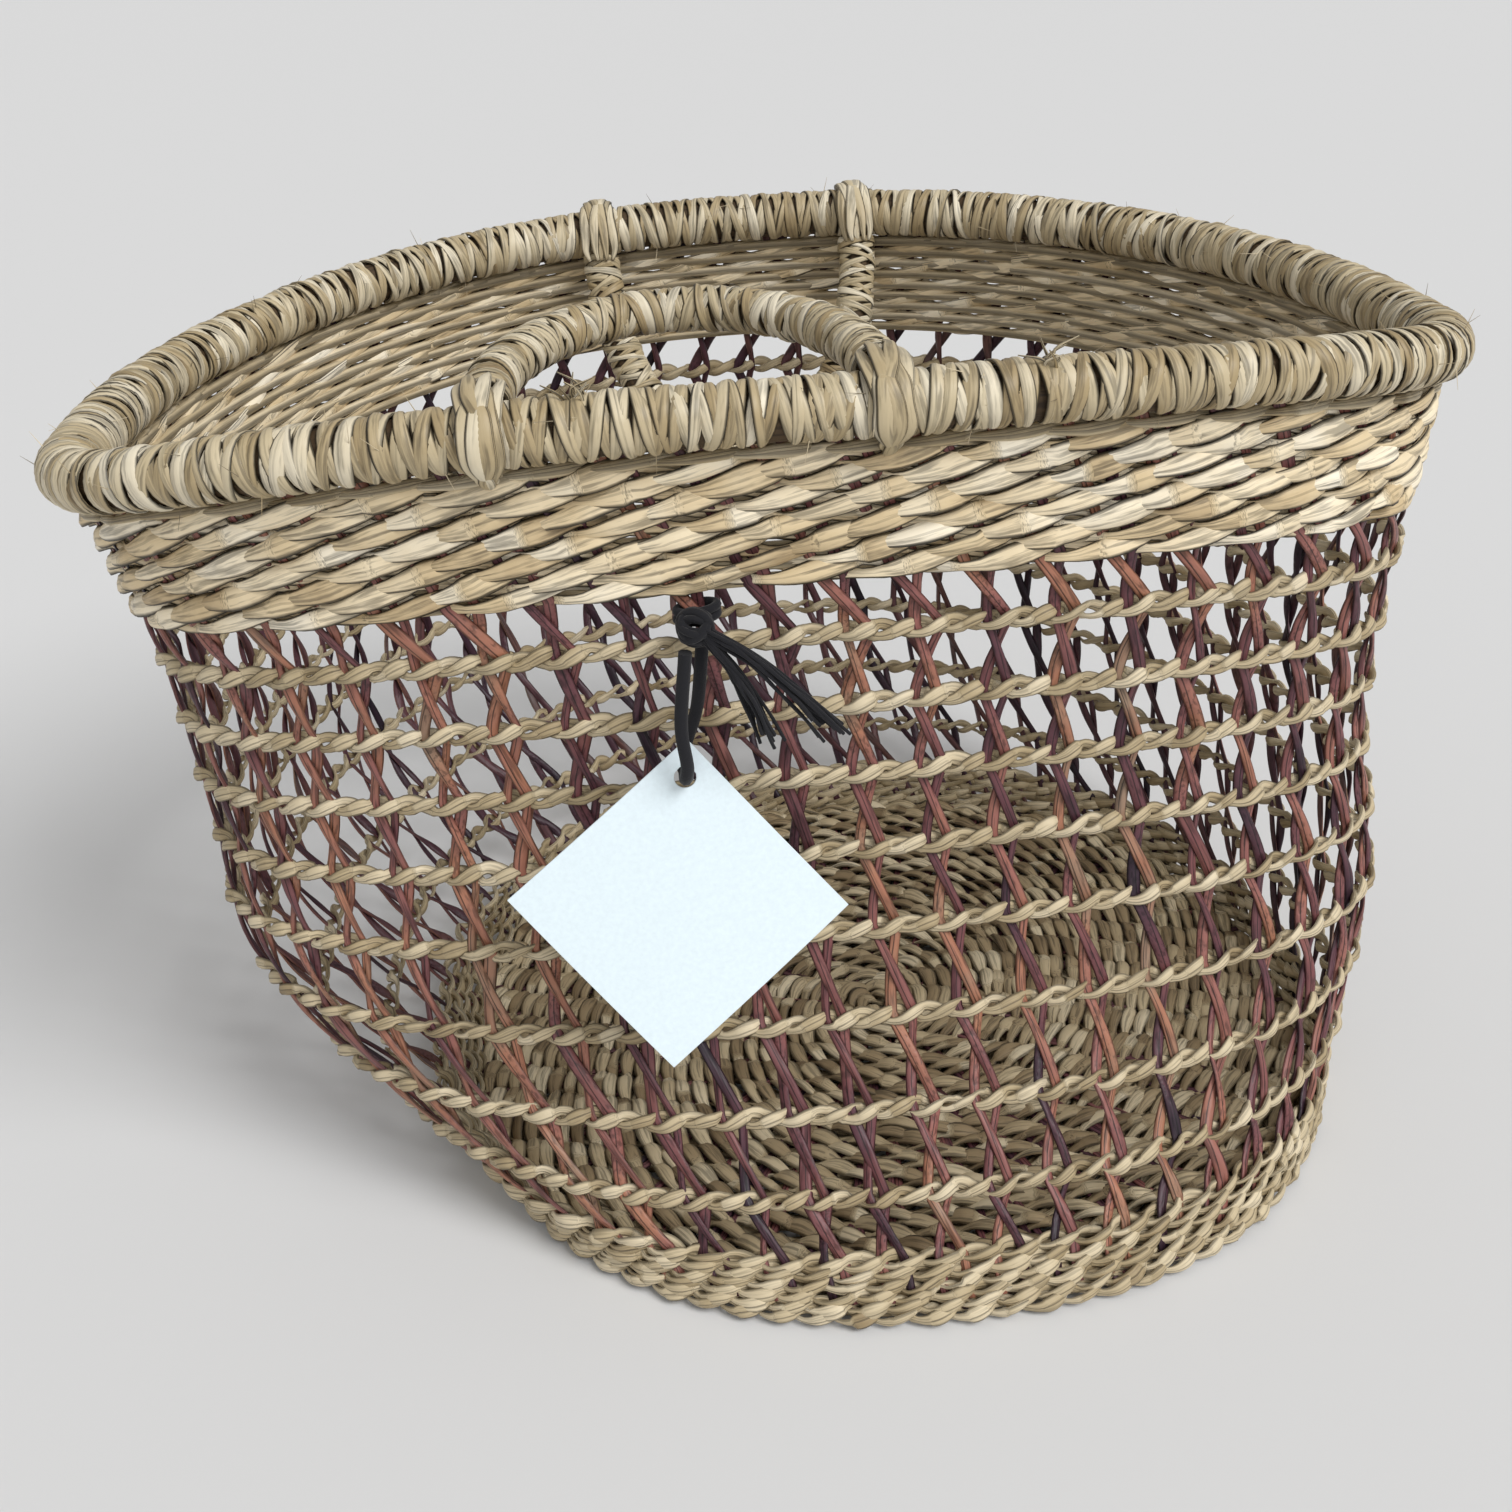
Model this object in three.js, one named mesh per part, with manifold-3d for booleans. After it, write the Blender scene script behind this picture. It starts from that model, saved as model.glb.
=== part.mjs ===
// A hand-woven open-work basket of rush stakes and seagrass strands, with a wrapped rim, two swing handles
// lashed to the rim and a hang tag. Millimetres, +Z up. The origin is the centre of the base's underside, X runs
// along the basket and -Y is the side that the tag hangs on.
import * as THREE from "three";
import { mergeVertices } from "three/addons/utils/BufferGeometryUtils.js";
import Module from "manifold-3d";

// Running gap between pieces that touch, and between the strands and the stakes that they pass
const clearance = 0.3;
const weaveClearance = 0.6;

// Outline of the wall, at five even steps from the base to the rim
const baseRadius = 124;
const lowHalfLength = 159;
const middleHalfLength = 159;
const highHalfLength = 161;
const rimHalfLength = 167;
const lowFrontReach = 82;
const middleFrontReach = 66;
const highFrontReach = 70;
const rimFrontReach = 78;
const lowBackReach = 180;
const middleBackReach = 187;
const highBackReach = 173;
const rimBackReach = 161;
const lowSideShift = -19;
const middleSideShift = -26;
const highSideShift = -28;
const rimSideShift = -33;
const rimHeight = 210;

// The base outline is almost round, the rim is squarer in front than at the back
const baseSquareness = 2.3;
const frontSquareness = 3;
const backSquareness = 2.2;

// The rim rises at the middle of its long sides, at the front and at the right end
const saddleRise = 5.5;
const frontRise = 5;
const rightRise = 6;

// Stakes
const facets = 28;
const stakesPerFacet = 2;
const fans = 8;
const stakeWidth = 7;
const stakeThickness = 2;
const stakeStartTurn = 0.0201;
const stakeTwistTurn = 0.0278;
const stakeSwayTurn = 0.135;
const swayLowShare = 0.05;
const swayHighShare = 0.74;
const fanTipRadius = 6;

// Twined strands
const strandHeight = 4.5;
const strandDepth = 2.5;
const rowHeightShares = [0.91, 0.79, 0.67, 0.545, 0.42, 0.29, 0.17, 0.07];

// Base
const weaveThickness = 2.5;
const baseRings = 8;
const baseGrooveDepth = 1;
const baseGrooveShare = 0.5;
const edgeRows = 3;
const edgeRowHeight = 3.4;
const edgeRowDepth = 3;

// Band
const bandRows = 8;
const bandHeight = 27;
const bandRowDepth = 3;
const liningSteps = 4;

// Rim
const rimRadius = 8;
const rimCoreRadius = 5;
const rimWrapBore = 6.1;
const rimGap = 4;
const rimSlotAngle = THREE.MathUtils.degToRad(42);
const rimStepsPerFacet = 2;
const rimCoreSides = 6;
const rimWrapOuterSteps = 8;
const rimWrapInnerSteps = 6;

// Handles
const handleReach = 75;
const handleSquareness = 2.05;
const handleCoreRadius = 3;
const handleWrapThickness = 2.7;
const handleLegOffset = 4;
const handleSides = 8;
const handleSteps = 14;
const swingClearance = 1.6;
const strapThickness = 1.5;
const strapWidth = 5.5;
const strapSides = 12;
const handleSpanStakes = 5;
const frontHandleStake = 9;
const backHandleStake = 38;
const frontHandleAngle = THREE.MathUtils.degToRad(90);
const backHandleLean = THREE.MathUtils.degToRad(39.1);

// Hang tag
const cardSide = 57;
const cardThickness = 0.8;
const cardTilt = THREE.MathUtils.degToRad(0.25);
const cardLean = THREE.MathUtils.degToRad(16);
const cardHoleRadius = 2.6;
const cardHoleInset = 9;
const stringDiameter = 2.4;
const stringSides = 8;
const stringSteps = 22;
const stringBend = 5;
const stringSpread = 2;
const stringTurnSteps = 5;
const stringDrop = 32.5;
const knotRadius = 5;
const tagSlant = THREE.MathUtils.degToRad(6.3);
const tagStake = 10;
const tagLoopDrop = 5.5;
const tagLoopHeight = 2.4;

const outlineSamples = 720;

// Heights that follow from the sizes above
const footHeight = weaveThickness + clearance + stakeThickness / 2;
const upperWeaveBottom = footHeight + stakeThickness / 2 + weaveClearance;
const upperWeaveTop = upperWeaveBottom + weaveThickness;
const edgeRowBottom = weaveThickness + clearance;
const edgeRowPitch = edgeRowHeight + clearance;
const edgeTop = edgeRowBottom + edgeRows * edgeRowPitch - clearance;
const bandTop = rimHeight - rimRadius - rimGap;
const bandBottom = bandTop - bandHeight;
const stakeTop = rimHeight - rimCoreRadius - clearance;
const backSlope = Math.atan2(rimBackReach - highBackReach, (rimHeight - footHeight) / 4);
const backHandleAngle = backHandleLean + backSlope;
const rowHeights = rowHeightShares.map((share) => edgeTop + share * (bandBottom - edgeTop));

// Offsets from the middle of the stakes' thickness
const strandInside = stakeThickness / 2 + weaveClearance;
const strandOutside = strandInside + strandDepth;

const stakeCount = facets * stakesPerFacet;
const stakesPerFan = stakeCount / fans;
const up = new THREE.Vector3(0, 0, 1);

const sections = new THREE.CatmullRomCurve3(
  [
    new THREE.Vector3(baseRadius, baseRadius, baseRadius),
    new THREE.Vector3(lowHalfLength, lowFrontReach, lowBackReach),
    new THREE.Vector3(middleHalfLength, middleFrontReach, middleBackReach),
    new THREE.Vector3(highHalfLength, highFrontReach, highBackReach),
    new THREE.Vector3(rimHalfLength, rimFrontReach, rimBackReach),
  ],
  false,
  "catmullrom",
);
const shifts = new THREE.CatmullRomCurve3(
  [0, lowSideShift, middleSideShift, highSideShift, rimSideShift].map((x) => new THREE.Vector3(x, 0, 0)),
  false,
  "catmullrom",
);

// The closed outline at a height, as many points evenly spaced along it, twisted as the stakes are
function outlineAt(height, count) {
  const share = THREE.MathUtils.clamp((height - footHeight) / (rimHeight - footHeight), 0, 1);
  const riseShare = THREE.MathUtils.clamp((height - footHeight) / (stakeTop - footHeight), 0, 1);
  const section = sections.getPoint(share);
  const shift = shifts.getPoint(share).x;
  const squareness = (end) => THREE.MathUtils.lerp(baseSquareness, end, share ** 1.5);
  const power = (value, exponent) => Math.sign(value) * Math.abs(value) ** (2 / exponent);
  const samples = [];
  for (let i = 0; i <= outlineSamples; i++) {
    const angle = (i / outlineSamples) * 2 * Math.PI - Math.PI;
    const front = Math.sin(angle) < 0;
    const exponent = squareness(front ? frontSquareness : backSquareness);
    const rise =
      -saddleRise * Math.cos(2 * angle) - frontRise * Math.sin(angle) + rightRise * Math.cos(angle);
    samples.push(
      new THREE.Vector3(
        shift + section.x * power(Math.cos(angle), exponent),
        (front ? section.y : section.z) * power(Math.sin(angle), exponent),
        height + riseShare * rise,
      ),
    );
  }
  const lengths = [0];
  for (let i = 1; i <= outlineSamples; i++)
    lengths.push(lengths[i - 1] + samples[i].distanceTo(samples[i - 1]));
  const total = lengths[outlineSamples];
  const sway = stakeSwayTurn * (share - swayLowShare) * Math.max(0, swayHighShare - share);
  const points = [];
  for (let i = 0; i < count; i++) {
    const turn = i / count + stakeStartTurn - stakeTwistTurn * share - sway + 1;
    const target = (turn - Math.floor(turn)) * total;
    const next = Math.max(1, lengths.findIndex((length) => length >= target));
    const part = (target - lengths[next - 1]) / (lengths[next] - lengths[next - 1]);
    points.push(samples[next - 1].clone().lerp(samples[next], part));
  }
  return points;
}

// Level outward direction at each corner of an outline, long enough that an offset keeps to its facets
function cornersOut(points) {
  const facetNormals = points.map((point, i) => {
    const along = points[(i + 1) % points.length].clone().sub(point);
    return new THREE.Vector3(along.y, -along.x, 0).normalize();
  });
  return points.map((_, i) => {
    const before = facetNormals[(i + points.length - 1) % points.length];
    const sum = before.clone().add(facetNormals[i]);
    return sum.multiplyScalar(2 / sum.lengthSq());
  });
}

// The wall is straight between these levels, so that strands and stakes keep their clearance everywhere
const between = (row) => (rowHeights[row - 1] + rowHeights[row]) / 2;
const levelHeights = [footHeight, between(7), between(5), between(3), between(1), bandBottom, stakeTop];
const levels = levelHeights.map((height) => {
  const points = outlineAt(height, facets);
  return { height, points, out: cornersOut(points) };
});

// A corner of the wall at a height, moved out from the middle of the stakes
function wallCorner(corner, height, offset) {
  const index = THREE.MathUtils.clamp(
    levels.findIndex((level) => level.height >= height) - 1,
    0,
    levels.length - 2,
  );
  const low = levels[index];
  const high = levels[index + 1];
  const part = (height - low.height) / (high.height - low.height);
  const i = corner % facets;
  const point = low.points[i].clone().lerp(high.points[i], part);
  return point.addScaledVector(low.out[i].clone().lerp(high.out[i], part), offset);
}

// A point of the wall part of the way along its facets, with the directions along and out of its facet
function wallPoint(around, height, offset) {
  const facet = Math.floor(around) % facets;
  const start = wallCorner(facet, height, offset);
  const end = wallCorner(facet + 1, height, offset);
  const along = end.clone().sub(start).normalize();
  return {
    point: start.clone().lerp(end, around - Math.floor(around)),
    along,
    out: new THREE.Vector3(along.y, -along.x, 0).normalize(),
  };
}

const aroundAtStake = (stake) => (stake + 0.5) / stakesPerFacet;

// A closed surface through rings of points, joined ring to ring, and end to start or capped at both ends
function loft(rings, endless) {
  const count = rings[0].length;
  const positions = rings.flatMap((ring) => ring.flatMap((point) => point.toArray()));
  const index = [];
  const steps = endless ? rings.length : rings.length - 1;
  for (let i = 0; i < steps; i++)
    for (let j = 0; j < count; j++) {
      const a = i * count + j;
      const b = i * count + ((j + 1) % count);
      const c = ((i + 1) % rings.length) * count + j;
      const d = ((i + 1) % rings.length) * count + ((j + 1) % count);
      index.push(a, b, d, a, d, c);
    }
  if (!endless)
    for (let j = 1; j < count - 1; j++) {
      const last = (rings.length - 1) * count;
      index.push(0, j + 1, j, last, last + j, last + j + 1);
    }
  const geometry = new THREE.BufferGeometry();
  geometry.setAttribute("position", new THREE.Float32BufferAttribute(positions, 3));
  geometry.setIndex(index);
  if (signedVolume(geometry) < 0) for (let i = 0; i < index.length; i += 3) swapCorners(geometry.index, i);
  geometry.computeVertexNormals();
  return geometry;
}

function swapCorners(index, first) {
  const kept = index.getX(first + 1);
  index.setX(first + 1, index.getX(first + 2));
  index.setX(first + 2, kept);
}

function signedVolume(geometry) {
  const [a, b, c] = [new THREE.Vector3(), new THREE.Vector3(), new THREE.Vector3()];
  const { index } = geometry;
  const position = geometry.getAttribute("position");
  let volume = 0;
  for (let i = 0; i < index.count; i += 3) {
    a.fromBufferAttribute(position, index.getX(i));
    b.fromBufferAttribute(position, index.getX(i + 1));
    c.fromBufferAttribute(position, index.getX(i + 2));
    volume += a.dot(b.cross(c)) / 6;
  }
  return volume;
}

const wasm = await Module();
wasm.setup();

function solidOf(geometry) {
  const bare = geometry.clone();
  bare.deleteAttribute("normal");
  bare.deleteAttribute("uv");
  const merged = mergeVertices(bare);
  return new wasm.Manifold(
    new wasm.Mesh({
      numProp: 3,
      vertProperties: new Float32Array(merged.getAttribute("position").array),
      triVerts: new Uint32Array(merged.index.array),
    }),
  );
}

function geometryOf(solid) {
  const mesh = solid.getMesh();
  const geometry = new THREE.BufferGeometry();
  geometry.setAttribute("position", new THREE.Float32BufferAttribute(mesh.vertProperties, 3));
  geometry.setIndex([...mesh.triVerts]);
  geometry.computeVertexNormals();
  return geometry;
}

const join = (geometries) =>
  geometryOf(geometries.map(solidOf).reduce((joined, solid) => joined.add(solid)));

// Materials
const finish = (color, roughness) => new THREE.MeshStandardMaterial({ color, roughness, metalness: 0 });
const seagrass = finish(0xc3ac7c, 0.75);
const paleSeagrass = finish(0xcbb88c, 0.7);
const rush = finish(0x6b3434, 0.6);
const cane = finish(0x9a7b4c, 0.7);
const cardboard = finish(0xe9eff2, 0.6);
const cotton = finish(0x17171c, 0.9);

const basket = new THREE.Group();

function addPiece(name, geometry, material) {
  const mesh = new THREE.Mesh(geometry, material);
  mesh.name = name;
  basket.add(mesh);
}

// A strand or lining that runs all the way round the wall, between two heights and two offsets
function strandRing(low, high, inside, outside, steps = 1) {
  const heights = Array.from({ length: steps + 1 }, (_, step) => low + (step / steps) * (high - low));
  const rings = [];
  for (let i = 0; i < facets; i++) {
    const inner = heights.map((height) => wallCorner(i, height, inside)).reverse();
    rings.push([...inner, ...heights.map((height) => wallCorner(i, height, outside))]);
  }
  return loft(rings, true);
}

// One face of the base's weave: a slab with low rings on its outer side, and a plain side toward the stakes
function ringedSlab(plain, plainOutline, ringed, ringedOutline) {
  const ring = (outline, height, share) =>
    outline.map((point) => new THREE.Vector3(point.x * share, point.y * share, height));
  const groove = ringed + Math.sign(plain - ringed) * baseGrooveDepth;
  const rings = [ring(plainOutline, plain, 1), ring(ringedOutline, ringed, 1)];
  for (let step = baseRings - 1; step > 0; step--) {
    rings.push(ring(ringedOutline, ringed, (step + baseGrooveShare / 2) / baseRings));
    rings.push(ring(ringedOutline, groove, step / baseRings));
    rings.push(ring(ringedOutline, ringed, (step - baseGrooveShare / 2) / baseRings));
  }
  return loft(rings, false);
}

function buildBase() {
  const outline = (height, offset) => Array.from({ length: facets }, (_, i) => wallCorner(i, height, offset));
  const rim = outline(edgeRowBottom, strandInside + edgeRowDepth);
  addPiece("base_weave_under", ringedSlab(weaveThickness, rim, 0, rim), seagrass);
  const low = outline(upperWeaveBottom, -strandInside);
  const high = outline(upperWeaveTop, -strandInside);
  addPiece("base_weave_upper", ringedSlab(upperWeaveBottom, low, upperWeaveTop, high), seagrass);
  for (let row = 0; row < edgeRows; row++) {
    const low = edgeRowBottom + row * edgeRowPitch;
    const geometry = strandRing(low, low + edgeRowHeight, strandInside, strandInside + edgeRowDepth);
    addPiece(`base_edge_row_${row + 1}`, geometry, paleSeagrass);
  }
  const lining = strandRing(upperWeaveTop + clearance, edgeTop, -strandOutside, -strandInside);
  addPiece("base_edge_lining", lining, seagrass);
}

// Stakes start side by side at this distance from the middle of the base
const fanRadius = (stakeCount * (stakeWidth + 3 * weaveClearance)) / (2 * Math.PI);

// One stake: flat across the base, then up the wall to the rim
function stakeSolid(stake) {
  const around = aroundAtStake(stake);
  const half = stakeThickness / 2;
  const strip = (inner, outer, along) => {
    const across = along.clone().multiplyScalar(stakeWidth / 2);
    return [
      inner.clone().sub(across),
      inner.clone().add(across),
      outer.clone().add(across),
      outer.clone().sub(across),
    ];
  };
  const inside = wallPoint(around, footHeight + half, -half);
  const outside = wallPoint(around, footHeight - half, half);
  const startTop = new THREE.Vector3(inside.point.x, inside.point.y, 0).setLength(fanRadius - stakeThickness);
  const startUnder = startTop.clone();
  startTop.z = footHeight + half;
  startUnder.z = footHeight - half;
  const rings = [
    strip(startTop, startUnder, inside.along),
    strip(inside.point, outside.point, inside.along),
  ];
  for (const { height } of levels.slice(1)) {
    const { point, along, out } = wallPoint(around, height, 0);
    const inner = point.clone().addScaledVector(out, -half);
    rings.push(strip(inner, point.addScaledVector(out, half), along));
  }
  return loft(rings, false);
}

// The bundle in which a fan's stakes start, a flat sector of the base
function fanBundle(fan) {
  const directionAt = (stake) => {
    const { point } = wallPoint(stake / stakesPerFacet, footHeight, 0);
    return Math.atan2(point.y, point.x);
  };
  const polar = (radius, angle) => new THREE.Vector3(radius * Math.cos(angle), radius * Math.sin(angle), 0);
  const first = directionAt(fan * stakesPerFan);
  const last = directionAt((fan + 1) * stakesPerFan);
  const outline = [polar(fanTipRadius, last - clearance / fanTipRadius), polar(fanTipRadius, first + clearance / fanTipRadius)];
  for (let i = 0; i <= stakesPerFan; i++) {
    const edge = i === 0 ? 1 : i === stakesPerFan ? -1 : 0;
    outline.push(polar(fanRadius, directionAt(fan * stakesPerFan + i) + (edge * clearance) / fanRadius));
  }
  const ringAt = (height) => outline.map((point) => new THREE.Vector3(point.x, point.y, height));
  const low = footHeight - stakeThickness / 2;
  return loft([ringAt(low), ringAt(low + stakeThickness)], false);
}

function buildStakes() {
  for (let fan = 0; fan < fans; fan++) {
    const pieces = [fanBundle(fan)];
    for (let i = 0; i < stakesPerFan; i++) pieces.push(stakeSolid(fan * stakesPerFan + i));
    addPiece(`stake_fan_${fan + 1}`, join(pieces), rush);
  }
}

function buildOpenRows() {
  rowHeights.forEach((height, row) => {
    const low = height - strandHeight / 2;
    const high = height + strandHeight / 2;
    addPiece(`open_row_${row + 1}_outer`, strandRing(low, high, strandInside, strandOutside), paleSeagrass);
    addPiece(`open_row_${row + 1}_inner`, strandRing(low, high, -strandOutside, -strandInside), paleSeagrass);
  });
}

function buildBand() {
  const pitch = bandHeight / bandRows;
  for (let row = 0; row < bandRows; row++) {
    const high = bandTop - row * pitch;
    const geometry = strandRing(high - pitch + clearance, high, strandInside, strandInside + bandRowDepth);
    addPiece(`band_row_${row + 1}`, geometry, seagrass);
  }
  const lining = strandRing(bandBottom, bandTop, -strandOutside, -strandInside, liningSteps);
  addPiece("band_lining", lining, seagrass);
}

// The rim's centreline, and a ring of points round it at each of its corners
const rimLine = outlineAt(rimHeight, facets * rimStepsPerFacet);
const rimOut = cornersOut(rimLine);

function rimRings(profile) {
  return rimLine.map((point, i) =>
    profile.map(({ radius, angle }) =>
      point
        .clone()
        .addScaledVector(rimOut[i], radius * Math.cos(angle))
        .addScaledVector(up, radius * Math.sin(angle)),
    ),
  );
}

function buildRim() {
  const core = Array.from({ length: rimCoreSides }, (_, i) => ({
    radius: rimCoreRadius,
    angle: Math.PI / 2 + (i / rimCoreSides) * 2 * Math.PI,
  }));
  addPiece("rim_core", loft(rimRings(core), true), cane);
  const from = rimSlotAngle - Math.PI / 2;
  const sweep = 2 * (Math.PI - rimSlotAngle);
  const wrap = [];
  for (let i = 0; i <= rimWrapOuterSteps; i++)
    wrap.push({ radius: rimRadius, angle: from + (i / rimWrapOuterSteps) * sweep });
  for (let i = rimWrapInnerSteps; i >= 0; i--)
    wrap.push({ radius: rimWrapBore, angle: from + (i / rimWrapInnerSteps) * sweep });
  addPiece("rim_wrap", loft(rimRings(wrap), true), paleSeagrass);
}

// A handle's own frame: X from foot to foot along the rim, Z out of the rim along the handle, Y the side that it
// lies off the rim. It hangs inside the basket at angle zero and lies level, pointing inward, at a quarter turn.
function handleFrame(firstStake, angle) {
  const feet = [firstStake, firstStake + handleSpanStakes].map((stake) => {
    const { point } = wallPoint(stake / stakesPerFacet, stakeTop, 0);
    const near = rimLine.map((corner, i) => {
      const next = rimLine[(i + 1) % rimLine.length];
      const line = new THREE.Line3(corner, next);
      return line.closestPointToPoint(new THREE.Vector3(point.x, point.y, point.z + rimCoreRadius), true, new THREE.Vector3());
    });
    return near.reduce((best, place) => (place.distanceTo(point) < best.distanceTo(point) ? place : best));
  });
  const middle = feet[0].clone().lerp(feet[1], 0.5);
  const along = feet[1].clone().sub(feet[0]);
  const span = along.length();
  along.normalize();
  const rise = up.clone().addScaledVector(along, -up.dot(along)).normalize();
  const inward = new THREE.Vector3().crossVectors(rise, along);
  const reach = inward.clone().multiplyScalar(Math.sin(angle)).addScaledVector(rise, -Math.cos(angle));
  const side = inward.clone().multiplyScalar(Math.cos(angle)).addScaledVector(rise, Math.sin(angle));
  return { middle, along, reach, side, span };
}

const handleRadius = handleCoreRadius + clearance + handleWrapThickness;
const strapBore = (rimRadius + swingClearance) / Math.cos(Math.PI / strapSides);
const strapOutside = strapBore + strapThickness;
const legStart = strapOutside * Math.cos(Math.PI / strapSides) + clearance;

function buildHandle(name, firstStake, angle) {
  const { middle, along, reach, side, span } = handleFrame(firstStake, angle);
  const place = (x, y, z) =>
    middle.clone().addScaledVector(along, x).addScaledVector(side, y).addScaledVector(reach, z);

  // The arch, with the direction of its own plane at each step
  const arch = [];
  for (let i = 0; i <= handleSteps; i++) {
    const turn = (i / handleSteps) * Math.PI;
    const power = (value) => Math.sign(value) * Math.abs(value) ** (2 / handleSquareness);
    arch.push([(-power(Math.cos(turn)) * span) / 2, legStart + power(Math.sin(turn)) * (handleReach - legStart)]);
  }
  const normals = arch.map((_, i) => {
    const [x0, z0] = arch[Math.max(i - 1, 0)];
    const [x1, z1] = arch[Math.min(i + 1, handleSteps)];
    const length = Math.hypot(x1 - x0, z1 - z0);
    const end = i === 0 || i === handleSteps;
    return end ? [i === 0 ? -1 : 1, 0] : [(z0 - z1) / length, (x1 - x0) / length];
  });
  const ringAt = (i, radius) =>
    Array.from({ length: handleSides }, (_, j) => {
      const turn = (j / handleSides) * 2 * Math.PI;
      const [x, z] = arch[i];
      const [nx, nz] = normals[i];
      const out = radius * Math.cos(turn);
      return place(x + nx * out, handleLegOffset + radius * Math.sin(turn), z + nz * out);
    });
  const steps = arch.map((_, i) => i);
  addPiece(`${name}_core`, loft(steps.map((i) => ringAt(i, handleCoreRadius)), false), cane);
  const outer = steps.map((i) => ringAt(i, handleRadius));
  const bore = steps.map((i) => ringAt(i, handleCoreRadius + clearance));
  const sleeve = Array.from({ length: handleSides }, (_, j) => [
    ...outer.map((ring) => ring[j]),
    ...bore.map((ring) => ring[j]).reverse(),
  ]);
  addPiece(`${name}_wrap`, loft(sleeve, true), paleSeagrass);

  // The strap loops that hold its feet to the rim
  for (const [foot, x] of [["left", -span / 2], ["right", span / 2]]) {
    const rings = Array.from({ length: strapSides }, (_, j) => {
      const turn = ((j + 0.5) / strapSides) * 2 * Math.PI;
      const at = (radius, dx) => place(x + dx, radius * Math.cos(turn), radius * Math.sin(turn));
      const half = strapWidth / 2;
      return [at(strapBore, -half), at(strapOutside, -half), at(strapOutside, half), at(strapBore, half)];
    });
    addPiece(`${name}_strap_${foot}`, loft(rings, true), seagrass);
  }
  return middle;
}

// The tag's loop sits round one stake just below the band
const tagLoopZ = bandBottom - tagLoopDrop;

function buildTag() {
  const { point, along, out } = wallPoint(aroundAtStake(tagStake), tagLoopZ, 0);
  const loopRoom = 2 * clearance;
  const halfWidth = stakeWidth / 2 + loopRoom + clearance;
  const halfDepth = stakeThickness / 2 + loopRoom;
  const frontFace = halfDepth + stringDiameter;
  const rectangle = (width, depth) => [
    new THREE.Vector2(-width, -depth),
    new THREE.Vector2(width, -depth),
    new THREE.Vector2(width, depth),
    new THREE.Vector2(-width, depth),
  ];
  const loopShape = new THREE.Shape(rectangle(halfWidth + stringDiameter, frontFace));
  loopShape.holes.push(new THREE.Path(rectangle(halfWidth, halfDepth)));
  const loop = new THREE.ExtrudeGeometry(loopShape, { depth: tagLoopHeight, bevelEnabled: false });
  const level = new THREE.Vector3(-out.y, out.x, 0);
  const upright = new THREE.Matrix4().makeBasis(level, out.clone().negate(), up).setPosition(point);
  upright.multiply(new THREE.Matrix4().makeTranslation(0, 0, -tagLoopHeight / 2));
  addPiece("tag_loop", loop.applyMatrix4(upright), cotton);

  // The hanging frame: X level, Z up the string, Y into the basket
  const pivot = point.clone().addScaledVector(out, frontFace + clearance + knotRadius);
  const hang = new THREE.Matrix4().makeBasis(level, out.clone().negate(), up).setPosition(pivot);
  hang.multiply(new THREE.Matrix4().makeRotationY(tagSlant));
  const knot = new THREE.IcosahedronGeometry(knotRadius, 1);
  addPiece("tag_knot", join([knot]).applyMatrix4(hang), cotton);

  // The string: down in front of the card, through its hole and up behind it
  const top = -knotRadius - clearance;
  const holeZ = top - stringDrop;
  const turnZ = holeZ + stringBend;
  const strand = (side) => [
    new THREE.Vector3(side * stringSpread, side * stringSpread, top),
    new THREE.Vector3(side * stringSpread, side * stringSpread, top - stringDiameter),
    new THREE.Vector3(side * stringSpread, side * stringBend, turnZ + stringBend * 2),
  ];
  const turned = Array.from({ length: stringTurnSteps }, (_, i) => {
    const turn = (i / (stringTurnSteps - 1)) * Math.PI;
    return new THREE.Vector3(0, -stringBend * Math.cos(turn), turnZ - stringBend * Math.sin(turn));
  });
  const route = [...strand(-1), ...turned, ...strand(1).reverse()];
  const curve = new THREE.CatmullRomCurve3(route);
  const profile = new THREE.Shape(
    Array.from({ length: stringSides }, (_, i) => {
      const turn = (i / stringSides) * 2 * Math.PI;
      const radius = stringDiameter / 2;
      return new THREE.Vector2(radius * Math.cos(turn), radius * Math.sin(turn));
    }),
  );
  const string = new THREE.ExtrudeGeometry(profile, { steps: stringSteps, extrudePath: curve });
  addPiece("tag_string", string.applyMatrix4(hang), cotton);

  // The card hangs by a hole near its corner
  const corner = cardSide / 2;
  const card = new THREE.Shape(rectangle(corner, corner));
  const holeAt = corner - cardHoleInset / Math.SQRT2;
  const hole = new THREE.Path();
  hole.absarc(holeAt, holeAt, cardHoleRadius, 0, 2 * Math.PI, true);
  card.holes.push(hole);
  const sheet = new THREE.ExtrudeGeometry(card, { depth: cardThickness, bevelEnabled: false, curveSegments: 12 });
  const turn = new THREE.Matrix4()
    .makeTranslation(0, 0, holeZ)
    .multiply(new THREE.Matrix4().makeRotationX(-cardLean))
    .multiply(new THREE.Matrix4().makeRotationY(-cardTilt))
    .multiply(new THREE.Matrix4().makeRotationX(Math.PI / 2))
    .multiply(new THREE.Matrix4().makeRotationZ(Math.PI / 4))
    .multiply(new THREE.Matrix4().makeTranslation(-holeAt, -holeAt, -cardThickness / 2));
  addPiece("tag_card", sheet.applyMatrix4(new THREE.Matrix4().multiplyMatrices(hang, turn)), cardboard);
  return pivot;
}

buildBase();
buildStakes();
buildOpenRows();
buildBand();
buildRim();
buildHandle("handle_front", frontHandleStake, frontHandleAngle);
buildHandle("handle_back", backHandleStake, backHandleAngle);
buildTag();

export default basket;
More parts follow.
